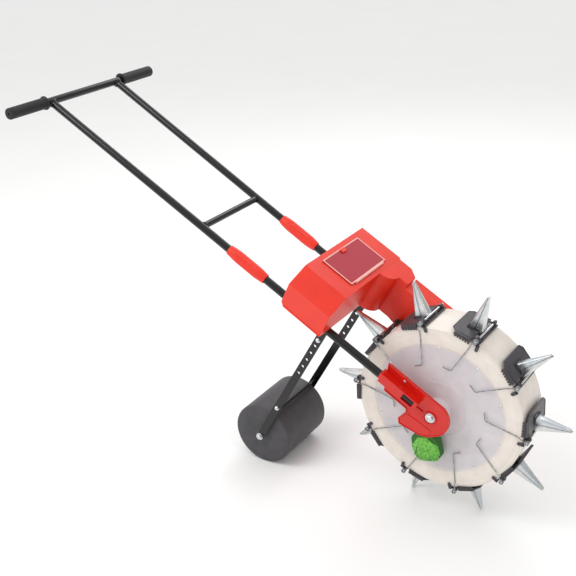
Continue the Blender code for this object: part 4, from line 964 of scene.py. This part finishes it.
bracket_line.append((socket_rear + BRACKET_SLANT, nose_v + skirt_line[-1][1]))


def slab(outline, y_low, y_high):
    """An outline of (station, height) swept across the machine."""
    return loft([[on_frame(u, y, v) for u, v in outline] for y in (y_low, y_high)])


def inset_line(outline, amount):
    """The same closed outline moved in by an amount (out, when negative); it runs clockwise."""
    moved = []
    for index, (u, v) in enumerate(outline):
        before = Vector(outline[index - 1]) - Vector((u, v))
        after = Vector(outline[(index + 1) % len(outline)]) - Vector((u, v))
        first = Vector((-before.y, before.x)).normalized()
        second = Vector((after.y, -after.x)).normalized()
        square = (first + second).normalized()
        moved.append(Vector((u, v)) + square * amount / max(0.4, square.dot(second)))
    return [(point.x, point.y) for point in moved]


def raised_lip(outline, width, y_root, y_top):
    """A lip of even width that follows the edge of a plate."""
    inner_edge = inset_line(outline, width)
    sections = []
    for (u, v), (inner_u, inner_v) in zip(outline, inner_edge):
        sections.append([on_frame(u, y_root, v), on_frame(u, y_top, v), on_frame(inner_u, y_top, inner_v),
                         on_frame(inner_u, y_root, inner_v)])
    return loft(sections, closed=True)


wall = TUBE_RADIUS + SOCKET_WALL
block_outer = HUB_SPREAD + wall
for side, label in ((-1, "near"), (1, "far")):
    inner_end = (FACE + BOSS_LENGTH if side < 0 else DUCT_INNER + DUCT_WIDTH) + 0.0009
    overlap = plate_outer - 0.002
    hub_boss = lathe([(0, inner_end), (BRACKET_BOSS, inner_end), (BRACKET_BOSS, overlap), (0, overlap)], axle,
                     (0, side, 0), 40)
    y_pair = sorted((side * overlap, side * block_outer))
    y_step = sorted((side * overlap, side * (block_outer - 0.003)))
    upper_block = slab([(socket_rear, -0.003), (socket_rear, wall), (TUBE_FRONT + SOCKET_WALL, wall),
                        (TUBE_FRONT + SOCKET_WALL, -0.003)], *y_pair)
    lower_block = slab([(socket_rear + 0.004, -wall), (socket_rear + 0.004, 0.0), (TUBE_FRONT, 0.0),
                        (TUBE_FRONT, -wall)], *y_step)
    bore = sweep([on_frame(socket_rear - 0.01, side * HUB_SPREAD, 0),
                  on_frame(TUBE_FRONT, side * HUB_SPREAD, 0)],
                 TUBE_RADIUS + 0.0006, 32)
    hole = lathe([(0, inner_end - 0.005), (SHAFT_RADIUS + FIT, inner_end - 0.005),
                  (SHAFT_RADIUS + FIT, plate_outer + 0.01), (0, plate_outer + 0.01)], axle, (0, side, 0), 32)
    y_window = sorted((side * HUB_SPREAD, side * (block_outer + 0.01)))
    window = slab([(TUBE_FRONT - 0.040, -TUBE_RADIUS), (TUBE_FRONT - 0.040, TUBE_RADIUS),
                   (TUBE_FRONT - 0.006, TUBE_RADIUS), (TUBE_FRONT - 0.006, -TUBE_RADIUS)], *y_window)
    plate_low, plate_high = sorted((side * bracket_inner, side * plate_outer))
    bracket = cut(slab(bracket_line, plate_low, plate_high), [bore, hole, window],
                  [hub_boss, upper_block, lower_block])
    place("bracket_moulding_" + label, bracket, gloss_red, "frame", "red_abs", ["hub_bracket_" + label],
          0.0009)
    face = side * (plate_outer - 0.0005)
    lip_top = side * (plate_outer + LIP_RISE)
    details = [raised_lip(bracket_line, LIP_WIDTH, face, lip_top)]
    details.append(lathe([(0.0145, plate_outer - 0.0005), (0.0185, plate_outer - 0.0005),
                          (0.0178, plate_outer + 0.003), (0.0152, plate_outer + 0.003)], axle, (0, side, 0),
                         48))
    skirt_panel = [(nose_u + x, nose_v + z) for x, z in ((0.020, -0.030), (0.022, -0.048), (0.002, -0.061),
                                                         (-0.051, -0.073), (-0.057, -0.064),
                                                         (-0.050, -0.036))]
    details.append(slab(skirt_panel, *sorted((face, side * (plate_outer + 0.0016)))))
    details.append(slab([(-0.046, -0.0175), (-0.046, -0.0145), (-0.014, -0.0125), (-0.014, -0.0155)],
                        *sorted((face, side * (plate_outer + 0.0035)))))
    screw_place = on_frame(-0.093, side * (plate_outer - 0.0005), 0.024)
    details.append(lathe([(0, 0), (0.0062, 0), (0.0056, 0.0028), (0, 0.0028)], screw_place, (0, side, 0), 28))
    place("bracket_details_" + label, joined(details), gloss_red, "frame", "red_abs",
          ["hub_bracket_" + label],
          0.0004)
    screw = lathe([(0, 0.002), (0.0036, 0.002), (0.0036, 0.0036), (0.0028, 0.0046), (0, 0.0048)], screw_place,
                  (0, side, 0), 20)
    place("bracket_screw_" + label, screw, zinc, "frame", "zinc_steel", ["hub_bracket_" + label])

# ==== hub shaft ====
# A zinc plated 16 mm bolt through both brackets, with a washer and a hexagon head on the near side and a
# nut on the far one. The wheel turns on it in two black nylon bushes.
head_seat = plate_outer + FIT
HEAD_LENGTH = 0.0065
HEAD_RADIUS = 0.0095
WASHER_RADIUS = 0.0130
WASHER_THICKNESS = 0.0016
NUT_RADIUS = 0.0122
washer_top = head_seat + WASHER_THICKNESS
head_top = head_seat + HEAD_LENGTH
shaft_parts = [lathe([(0, -head_seat), (SHAFT_RADIUS, -head_seat), (SHAFT_RADIUS, head_top - 0.001),
                      (SHAFT_RADIUS - 0.001, head_top), (0, head_top)], axle, (0, 1, 0), 40)]
shaft_parts.append(lathe([(0.004, head_seat), (0.0127, head_seat), (WASHER_RADIUS, head_seat + 0.0004),
                          (WASHER_RADIUS, head_seat + 0.0013), (0.0127, washer_top), (0.004, washer_top)],
                         axle, (0, -1, 0), 48))
shaft_parts.append(lathe([(0, washer_top), (HEAD_RADIUS, washer_top), (HEAD_RADIUS, head_seat + 0.0055),
                          (0.0082, head_top), (0.0055, head_top), (0.0050, head_seat + 0.0050),
                          (0, head_seat + 0.0050)], axle, (0, -1, 0), 6))
shaft_parts.append(lathe([(0.0075, head_seat), (NUT_RADIUS, head_seat), (NUT_RADIUS, head_seat + 0.0048),
                          (0.0112, head_seat + 0.0056), (0.0075, head_seat + 0.0056)], axle, (0, 1, 0), 6))
place("hub_bolt", joined(shaft_parts), zinc, "frame", "zinc_steel", ["hub_shaft"], sharp=25)
for name in ("hub_bush_near", "hub_bush_far"):
    frame["nodes"][name].data.materials.clear()
    frame["nodes"][name].data.materials.append(black_nylon)

# ==== brush ====
# A tuft of green nylon filament under the near bracket. The strands fan out and down from the clamp at the
# top and are trimmed to a rounded square.
# Drawn nylon filament: translucent bright green and glossy; its colour is painted paler in patches some 6 mm
# across as a painted highlight for the hard streak of gloss along each strand. Deep in the tuft a dark, dull
# green core stands behind the strands as painted shade for the shadow between the packed filaments.
green, tree, shader = begin_material("drawn_green_nylon", {"IOR": 1.53, "Roughness": 0.24,
                                                          "Subsurface Weight": 0.1,
                                                           "Subsurface Scale": 0.002})
coords = add_node(tree, "TexCoord")
# The base colour runs from darker to paler green over some 6 mm: the paler patches are a painted highlight
# for the gloss on the strands.
streak_highlight_noise = add_node(tree, "TexNoise", {"Vector": coords.outputs["Object"], "Scale": 1 / 0.006, "Detail": 3.0})
tint = add_node(tree, "ValToRGB", {"Fac": streak_highlight_noise.outputs["Fac"]})
tint.color_ramp.elements[0].position = 0.3
tint.color_ramp.elements[1].position = 0.7
tint.color_ramp.elements[0].color = linear("#4fa52c")
tint.color_ramp.elements[1].color = linear("#8fd860")
tree.links.new(tint.outputs["Color"], shader.inputs["Base Color"])

BRUSH_HALF_WIDTH = 0.038
BRUSH_HALF_HEIGHT = 0.040
ROUNDNESS = 3.6
BRUSH_DEPTH = 0.028
brush_place = axle + Vector((-0.017, 0, -0.097))
brush_turn = math.radians(14)
brush_back = -bracket_inner + FIT


def on_brush(x, y, z):
    """A point across and up the brush from its middle, which leans with the bracket."""
    return brush_place + Vector((x * math.cos(brush_turn) - z * math.sin(brush_turn), y,
                                 x * math.sin(brush_turn) + z * math.cos(brush_turn)))


def brush_edge(angle, margin):
    """How far the trimmed edge is from the brush's middle, in a direction from straight down."""
    across_share = abs(math.sin(angle)) / (BRUSH_HALF_WIDTH - margin)
    down_share = abs(math.cos(angle)) / (BRUSH_HALF_HEIGHT - margin)
    return (across_share ** ROUNDNESS + down_share ** ROUNDNESS) ** (-1 / ROUNDNESS)


core_line = [2 * math.pi * step / 48 for step in range(48)]
core_levels = [(brush_back + BRUSH_DEPTH, 0.0015), (brush_back + 0.005, 0.0015), (brush_back + 0.0025, 0.004)]
core_sections = [[on_brush(brush_edge(a, margin) * math.sin(a), y, -brush_edge(a, margin) * math.cos(a))
                  for a in core_line] for y, margin in core_levels]
clear_hub = lathe([(0, FACE), (BOSS_RADIUS + 0.0045, FACE), (BOSS_RADIUS + 0.0045, bracket_inner + 0.005),
                   (0, bracket_inner + 0.005)], axle, (0, -1, 0), 40)
# Dark, dull green for the core: painted shade for the shadow deep in the packed tuft; the noise paints darker
# gaps between filaments.
shade, tree, shader = begin_material("painted_shade_green_nylon", {"IOR": 1.53, "Roughness": 0.6})
coords = add_node(tree, "TexCoord")
gap_shade_noise = add_node(tree, "TexNoise", {"Vector": coords.outputs["Object"], "Scale": 1 / 0.003, "Detail": 3.0})
tint = add_node(tree, "ValToRGB", {"Fac": gap_shade_noise.outputs["Fac"]})
tint.color_ramp.elements[0].color = linear("#14420a")
tint.color_ramp.elements[1].color = linear("#2f7a18")
tree.links.new(tint.outputs["Color"], shader.inputs["Base Color"])
place("brush_core", cut(loft(core_sections), [clear_hub]), shade, "frame", "green_nylon", ["seed_brush"],
      sharp=40)
dice = random.Random(7)
strands = []
STRANDS = 84
STRAND_RADIUS = 0.00095
FAN_TOP = 0.030
FAN_DEGREES = 200
CLAMP_HALF = 0.012
for index in range(STRANDS):
    angle = math.radians(-FAN_DEGREES / 2 + FAN_DEGREES * (index + dice.random()) / STRANDS)
    start_z = FAN_TOP - 0.004 * dice.random()
    start_x = CLAMP_HALF * math.sin(angle)
    reach_angle = angle * (0.86 + 0.18 * dice.random())
    limit = brush_edge(reach_angle, 0.0008 + 0.012 * dice.random() ** 3)
    end_x = limit * math.sin(reach_angle)
    end_z = -limit * math.cos(reach_angle)
    bow = 0.0012 + 0.0016 * dice.random()
    path = []
    for step in range(6):
        share = step / 5
        lift = bow * math.sin(math.pi * min(1.0, share * 1.1 + 0.1))
        path.append(on_brush(start_x + (end_x - start_x) * share, brush_back + 0.0031 - lift,
                             start_z + (end_z - start_z) * share))
    strands.append(sweep(path, STRAND_RADIUS, 5))
place("brush_strands", joined(strands), green, "frame", "green_nylon", ["seed_brush"], sharp=80)

# ==== hopper ====
# A wide red box in satin ABS, moulded in one piece over the tubes. Its far front runs forward beside the
# wheel as a lobe with a curved wall. The deck is open under the lid, and a narrow lip edges the foot.
HOPPER_FLOOR = TUBE_RADIUS + 0.0006
HOPPER_FRONT = nose_u - math.sqrt((TIP_RADIUS + 0.0095) ** 2 - (HOPPER_FLOOR - nose_v) ** 2)
HOPPER_REAR = HOPPER_FRONT - 0.130
HOPPER_TOP = 0.132
HOPPER_WALL = 0.003
HOPPER_FOOT_HALF = 0.172
HOPPER_HEEL = 0.010
HOPPER_WAIST_HALF = 0.185
HOPPER_WAIST = 0.090
HOPPER_DECK_HALF = 0.140
LOBE_LAP = 0.004
LOBE_TURN = 0.040
LOBE_FRONT = HOPPER_FRONT + 0.068
LOBE_INNER = FACE + 0.0075
LOBE_OUTER = 0.134
LID_REAR = HOPPER_REAR + 0.016
LID_FRONT = HOPPER_FRONT - 0.020
LID_HALF = 0.086
LID_LIP = 0.006


def hopper_shell(inset):
    """The main box, shrunk by a wall when inset is set."""
    slant = inset * 0.5
    rear = HOPPER_REAR + inset
    sections = []
    for station, lift in ((rear, HOPPER_HEEL), (rear + HOPPER_HEEL - inset / 2, 0),
                          (HOPPER_FRONT - inset, 0)):
        half = [(HOPPER_FOOT_HALF - inset, HOPPER_FLOOR + inset + lift),
                (HOPPER_WAIST_HALF - inset, HOPPER_WAIST - slant),
                (HOPPER_DECK_HALF - slant, HOPPER_TOP - inset)]
        sections.append([on_frame(station, y, v) for y, v in half + [(-y, v) for y, v in reversed(half)]])
    return loft(sections)


def lobe_shell(inset):
    """The outlet lobe, whose near wall curves forward round the beaks' path."""
    inner = LOBE_INNER + inset
    outer = LOBE_OUTER - inset
    front = LOBE_FRONT - inset
    turn = LOBE_TURN - inset
    root = HOPPER_FRONT - HOPPER_WALL - LOBE_LAP
    plan = [(root, inner - turn)]
    for step in range(17):
        angle = math.pi / 2 * step / 16
        plan.append((HOPPER_FRONT + turn * math.sin(angle) - inset, inner - turn * math.cos(angle)))
    plan += [(front, inner), (front, outer - 0.022), (front - 0.026, outer), (root, outer)]
    return loft([[on_frame(u, y, v) for u, y in plan]
                 for v in (HOPPER_FLOOR + FIT + inset, HOPPER_TOP - FIT - inset)])


def sump_shell(inset):
    """The low part between the tubes where the last seed gathers."""
    low = HOPPER_FLOOR - 0.028 + inset
    high = HOPPER_FLOOR + (2 * inset if inset else 0.0003)
    outline = [(HOPPER_FRONT - 0.042 + inset, high), (HOPPER_FRONT - 0.028 + inset, low),
               (HOPPER_FRONT - inset, low), (HOPPER_FRONT + 0.028 - inset, high)]
    return slab(outline, LOBE_INNER + FIT + inset, LOBE_INNER + 0.0263 - inset)


mouth = loft([[on_frame(u, y, v) for u, y in ((LID_REAR + LID_LIP, -LID_HALF + LID_LIP),
                                              (LID_FRONT - LID_LIP, -LID_HALF + LID_LIP),
                                              (LID_FRONT - LID_LIP, LID_HALF - LID_LIP),
                                              (LID_REAR + LID_LIP, LID_HALF - LID_LIP))]
              for v in (HOPPER_TOP - 0.009, HOPPER_TOP + 0.003)])
outlet = slab([(LOBE_FRONT - 0.009, 0.0171), (LOBE_FRONT - 0.009, 0.112), (LOBE_FRONT + 0.003, 0.112),
               (LOBE_FRONT + 0.003, 0.0171)], LOBE_INNER + 0.006, DUCT_INNER + DUCT_WIDTH - 0.003)
hopper = cut(hopper_shell(0), [hopper_shell(HOPPER_WALL), lobe_shell(HOPPER_WALL), sump_shell(HOPPER_WALL),
                               mouth, outlet], [lobe_shell(0), sump_shell(0)])
place("hopper_moulding", hopper, red_abs, "frame", "red_abs", ["seed_hopper"], 0.0016)
# A narrow lip runs along both ends of the foot.
FOOT_LIP = 0.0018
FOOT_LIP_HEIGHT = 0.004
lip_rear = HOPPER_REAR + HOPPER_HEEL
lip_front = HOPPER_FRONT - 0.001
lip_low = HOPPER_FLOOR + 0.0002
lip_high = HOPPER_FLOOR + FOOT_LIP_HEIGHT
lips = []
for side in (-1, 1):
    lips.append(slab([(lip_rear, lip_low), (lip_rear, lip_high), (lip_front, lip_high), (lip_front, lip_low)],
                     *sorted((side * (HOPPER_FOOT_HALF - 0.001), side * (HOPPER_FOOT_HALF + FOOT_LIP)))))
place("hopper_foot_lips", joined(lips), red_abs, "frame", "red_abs", ["seed_hopper"], 0.0008)

# ==== lid ====
# A clear acrylic lid swings on a barrel along its front edge. A thin pale border is moulded round it, and a
# small red finger tab is stuck near its back edge.
# Clear acrylic, slightly rose from the red behind it: sharp gloss.
acrylic, tree, shader = begin_material("clear_acrylic", {"Base Color": linear("#cf3a4c"), "IOR": 1.49,
                                                        "Roughness": 0.06, "Transmission Weight": 0.3})
coords = add_node(tree, "TexCoord")
wave = add_node(tree, "TexNoise", {"Vector": coords.outputs["Object"], "Scale": 1 / 0.05, "Detail": 1.0})
bump = add_node(tree, "Bump", {"Height": wave.outputs["Fac"], "Strength": 0.1, "Distance": 0.001})
tree.links.new(bump.outputs["Normal"], shader.inputs["Normal"])
# Frosted border of the same acrylic: pale pink and dull, with a 1 mm speckle.
frost, tree, shader = begin_material("frosted_acrylic", {"IOR": 1.49, "Roughness": 0.5})
coords = add_node(tree, "TexCoord")
speck = add_node(tree, "TexNoise", {"Vector": coords.outputs["Object"], "Scale": 1 / 0.001, "Detail": 2.0})
tint = add_node(tree, "ValToRGB", {"Fac": speck.outputs["Fac"]})
tint.color_ramp.elements[0].color = linear("#f0a49b")
tint.color_ramp.elements[1].color = linear("#f9c3bb")
tree.links.new(tint.outputs["Color"], shader.inputs["Base Color"])

LID_THICKNESS = 0.003
LID_BARREL = 0.003
lid_floor = HOPPER_TOP + FIT
hinge_station = LID_FRONT + LID_BARREL
BARREL_SHARE = 0.8
hinge_height = lid_floor + LID_BARREL
panel = loft([[on_frame(u, y, v) for u, y in ((LID_REAR, -LID_HALF), (LID_FRONT + 0.002, -LID_HALF),
                                              (LID_FRONT + 0.002, LID_HALF), (LID_REAR, LID_HALF))]
              for v in (lid_floor, lid_floor + LID_THICKNESS - 0.0004)])
place("lid_panel", panel, acrylic, "lid", "clear_lid", ["hopper_lid"], 0.0006)
BORDER = 0.0034
border_front = LID_FRONT + 0.001
border_out = [(LID_REAR, -LID_HALF), (border_front, -LID_HALF), (border_front, LID_HALF),
              (LID_REAR, LID_HALF)]
border_in = [(LID_REAR + BORDER, -LID_HALF + BORDER), (border_front - BORDER, -LID_HALF + BORDER),
             (border_front - BORDER, LID_HALF - BORDER), (LID_REAR + BORDER, LID_HALF - BORDER)]
sections = []
for (u, y), (inner_u, inner_y) in zip(border_out, border_in):
    low, high = lid_floor + 0.001, lid_floor + LID_THICKNESS
    sections.append([on_frame(u, y, low), on_frame(u, y, high), on_frame(inner_u, inner_y, high),
                     on_frame(inner_u, inner_y, low)])
border_mesh = loft(sections, closed=True)
barrel_half = LID_HALF * BARREL_SHARE
barrel = sweep([on_frame(hinge_station, -barrel_half, hinge_height),
                on_frame(hinge_station, barrel_half, hinge_height)],
               LID_BARREL, 24)
place("lid_border", joined([border_mesh, barrel]), frost, "lid", "clear_lid", ["hopper_lid"], 0.0004)
deck = lid_floor + LID_THICKNESS + FIT
TAB_REAR = LID_REAR + 0.002
TAB_FRONT = LID_REAR + 0.016
TAB_MIDDLE = LID_REAR + 0.009
TAB_HALF_LENGTH = 0.010
TAB_HEIGHT = 0.004
tab_base = [(TAB_REAR, -TAB_HALF_LENGTH), (TAB_FRONT, -TAB_HALF_LENGTH), (TAB_FRONT, TAB_HALF_LENGTH),
            (TAB_REAR, TAB_HALF_LENGTH)]
tab = loft([[on_frame(u, y, deck) for u, y in tab_base],
            [on_frame(TAB_MIDDLE + (u - TAB_MIDDLE) * 0.8, y * 0.85, deck + TAB_HEIGHT) for u,
             y in tab_base]])
place("finger_tab", tab, red_abs, "lid", "red_abs", ["lid_tab"], 0.0008)

# ==== seed duct ====
# A flat red casing beside the wheel's far face leads seed from the lobe to the hub. A wider channel sits
# along its upper rear part.
DUCT_TOP = 0.118
DUCT_HUB_RADIUS = 0.068
CHANNEL_OUTER = 0.130
CHANNEL_FLOOR = 0.038
CHANNEL_FRONT = -0.125
DUCT_WALL = 0.003
DUCT_REACH = 0.015


def duct_line(inset):
    """Side view of the duct: straight from the hopper, then round the hub."""
    radius = DUCT_HUB_RADIUS - inset
    start = LOBE_FRONT + FIT - (DUCT_REACH if inset else 0)
    outline = [(start, HOPPER_FLOOR + 0.0039 + inset), (start, DUCT_TOP - inset), (-0.120, DUCT_TOP - inset)]
    for step in range(34):
        angle = math.radians(68 - 8 * step)
        if angle > math.radians(-176):
            outline.append((nose_u + radius * math.cos(angle), nose_v + radius * math.sin(angle)))
    return outline[::-1]


duct_start = LOBE_FRONT + FIT
duct_outer = DUCT_INNER + DUCT_WIDTH
channel = slab([(duct_start + FIT, CHANNEL_FLOOR), (duct_start + FIT, DUCT_TOP - FIT),
                (CHANNEL_FRONT, DUCT_TOP - FIT), (CHANNEL_FRONT, CHANNEL_FLOOR)], duct_outer - 0.0015,
               CHANNEL_OUTER)
channel_room = slab([(duct_start - 0.006, CHANNEL_FLOOR + 0.003), (duct_start - 0.006, DUCT_TOP - 0.0033),
                     (CHANNEL_FRONT - 0.003, DUCT_TOP - 0.0033),
                     (CHANNEL_FRONT - 0.003, CHANNEL_FLOOR + 0.003)],
                    duct_outer - 0.0045, CHANNEL_OUTER - 0.003)
feed = lathe([(0, DUCT_INNER - 0.003), (FEED_OPENING - 0.002, DUCT_INNER - 0.003),
              (FEED_OPENING - 0.002, duct_outer - 0.006), (0, duct_outer - 0.006)], axle, (0, 1, 0), 60)
shaft_hole = lathe([(0, DUCT_INNER), (SHAFT_RADIUS + FIT, DUCT_INNER),
                    (SHAFT_RADIUS + FIT, duct_outer + 0.003),
                    (0, duct_outer + 0.003)], axle, (0, 1, 0), 32)
duct = cut(slab(duct_line(0), DUCT_INNER, duct_outer),
           [slab(duct_line(DUCT_WALL), DUCT_INNER + DUCT_WALL, duct_outer - DUCT_WALL), channel_room, feed,
            shaft_hole], [channel])
place("duct_casing", duct, red_abs, "frame", "red_abs", ["seed_duct"], 0.0014)

# ==== roller arms ====
# Two black flat bars, punched with a row of round holes for setting the roller's height, are bolted to the
# tubes and hang square to them.
ARM_STATION = HOPPER_FRONT - 0.013
ARM_WIDTH = 0.022
ARM_THICKNESS = 0.004
ARM_CHAMFER = 0.006
roller_place = joint_place["roller_spin"]
ROLLER_DROP = (roller_place - tube_origin).dot(ABOVE)
tube_drift = ARM_WIDTH / 2 * (BAR_SPREAD - HUB_SPREAD) / -BAR_STATION
arm_outer = spread(ARM_STATION) - TUBE_RADIUS - 0.0006 - tube_drift
arm_inner = arm_outer - ARM_THICKNESS
half = ARM_WIDTH / 2
heel = ROLLER_DROP - half
arm_line = []
for centre_u, start_angle in ((ARM_STATION + half - ARM_CHAMFER, 0), (ARM_STATION - half + ARM_CHAMFER, -90)):
    for step in range(7):
        angle = math.radians(start_angle - 90 * step / 6)
        arm_line.append((centre_u + ARM_CHAMFER * math.cos(angle),
                         heel + ARM_CHAMFER + ARM_CHAMFER * math.sin(angle)))
arm_line += [(ARM_STATION - half, HOPPER_FLOOR - 0.002), (ARM_STATION + half, HOPPER_FLOOR - 0.002)]
BOLT_DROPS = (-0.054, -0.3355)
HOLES = 5
FIRST_HOLE = -0.077
HOLE_PITCH = 0.027
HOLE_RADIUS = 0.004
AXLE_HOLE_RADIUS = 0.0066
for side, label in ((-1, "near"), (1, "far")):
    holes = [(FIRST_HOLE - HOLE_PITCH * index, HOLE_RADIUS) for index in range(HOLES)]
    holes.append((ROLLER_DROP, AXLE_HOLE_RADIUS))
    drills = [lathe([(0, arm_inner - 0.004), (radius, arm_inner - 0.004), (radius, arm_outer + 0.004),
                     (0, arm_outer + 0.004)], on_frame(ARM_STATION, 0, drop), (0, side, 0), 24) for drop,
              radius in holes]
    bar = cut(slab(arm_line, *sorted((side * arm_inner, side * arm_outer))), drills)
    place("flat_bar_arm_" + label, bar, enamel, "frame", "black_enamel", ["roller_arm_" + label], 0.0006)
    bolts = [lathe([(0, arm_outer - 0.001), (0.0072, arm_outer - 0.001), (0.0072, arm_outer + 0.0010),
                    (0.0060, arm_outer + 0.0011), (0.0060, arm_outer + 0.0042), (0.0050, arm_outer + 0.0050),
                    (0, arm_outer + 0.0050)], on_frame(ARM_STATION, 0, drop), (0, side, 0),
                   6) for drop in BOLT_DROPS]
    place("arm_bolts_" + label, joined(bolts), zinc, "frame", "zinc_steel", ["roller_arm_" + label], sharp=20)

# ==== press roller ====
# A hollow roller, rotationally moulded in dark grey polyethylene, turns on a zinc plated axle whose nuts
# stand outside the arms. A flat black scraper keeps soil off it.
# Rotationally moulded polyethylene: charcoal, dull, with a pebbled 2 mm skin and paler scuffs.
poly, tree, shader = begin_material("moulded_charcoal_polyethylene", {"IOR": 1.51})
coords = add_node(tree, "TexCoord")
scuff = add_node(tree, "TexNoise", {"Vector": coords.outputs["Object"], "Scale": 1 / 0.03, "Detail": 5.0})
tint = add_node(tree, "ValToRGB", {"Fac": scuff.outputs["Fac"]})
tint.color_ramp.elements[0].position = 0.3
tint.color_ramp.elements[1].position = 0.7
tint.color_ramp.elements[0].color = linear("#3b393d")
tint.color_ramp.elements[1].color = linear("#474549")
tree.links.new(tint.outputs["Color"], shader.inputs["Base Color"])
pebble = add_node(tree, "TexNoise", {"Vector": coords.outputs["Object"], "Scale": 1 / 0.002, "Detail": 3.0})
gloss = add_node(tree, "MapRange", {"Value": pebble.outputs["Fac"], "To Min": 0.45, "To Max": 0.62})
tree.links.new(gloss.outputs["Result"], shader.inputs["Roughness"])
bump = add_node(tree, "Bump", {"Height": pebble.outputs["Fac"], "Strength": 0.35, "Distance": 0.0004})
tree.links.new(bump.outputs["Normal"], shader.inputs["Normal"])

ROLLER_RADIUS = 0.089
ROLLER_HALF = 0.096
ROLLER_WALL = 0.005
EDGE_RADIUS = 0.004
ROLLER_BORE = 0.008
roller_skin = []
for step in range(6):
    angle = math.pi / 2 * step / 5
    roller_skin.append((ROLLER_RADIUS - EDGE_RADIUS + EDGE_RADIUS * math.sin(angle),
                        -ROLLER_HALF + EDGE_RADIUS - EDGE_RADIUS * math.cos(angle)))
hub_dish = [(ROLLER_BORE, -ROLLER_HALF), (0.016, -ROLLER_HALF), (0.018, -ROLLER_HALF + 0.0015),
            (0.030, -ROLLER_HALF + 0.0015),
            (0.033, -ROLLER_HALF)]
skin = hub_dish + roller_skin
roller_line = skin + [(r, -distance) for r, distance in reversed(skin)]
roller_room = ROLLER_HALF - ROLLER_WALL
roller_line += [(ROLLER_BORE, roller_room), (ROLLER_RADIUS - ROLLER_WALL, roller_room),
                (ROLLER_RADIUS - ROLLER_WALL, -roller_room), (ROLLER_BORE, -roller_room)]
place("roller_drum", lathe(roller_line, sides=120), poly, "roller", "grey_plastic", ["press_roller"],
      at=roller_place,
      sharp=40)

axle_end = spread(ARM_STATION) - TUBE_RADIUS
axle_parts = [lathe([(0, -axle_end - 0.0075), (0.0050, -axle_end - 0.0075), (0.0060, -axle_end - 0.0065),
                     (0.0060, axle_end + 0.0065), (0.0050, axle_end + 0.0075), (0, axle_end + 0.0075)],
                    roller_place,
                    (0, 1, 0), 32)]
for side in (-1, 1):
    axle_parts.append(lathe([(0.0058, axle_end - 0.0002), (0.0105, axle_end - 0.0002),
                             (0.0105, axle_end + 0.0012),
                             (0.0058, axle_end + 0.0012)], roller_place, (0, side, 0), 32))
    axle_parts.append(lathe([(0.0058, axle_end + 0.0012), (0.0095, axle_end + 0.0012),
                             (0.0095, axle_end + 0.0050),
                             (0.0086, axle_end + 0.0056), (0.0058, axle_end + 0.0056)], roller_place,
                            (0, side, 0), 6))
place("roller_axle_nuts", joined(axle_parts), zinc, "frame", "zinc_steel", ["roller_axle"], sharp=25)

SCRAPER_GAP = 0.003
SCRAPER_HEIGHT = 0.026
SCRAPER_THICKNESS = 0.0025
scraper_low = ROLLER_DROP + ROLLER_RADIUS + SCRAPER_GAP
scraper_half = arm_inner - FIT
scraper_high = scraper_low + SCRAPER_HEIGHT
scraper_front = ARM_STATION + SCRAPER_THICKNESS
scraper = slab([(ARM_STATION, scraper_low), (ARM_STATION, scraper_high), (scraper_front, scraper_high),
                (scraper_front, scraper_low)], -scraper_half, scraper_half)
place("scraper_plate", scraper, enamel, "frame", "black_enamel", ["roller_scraper"], 0.0005)
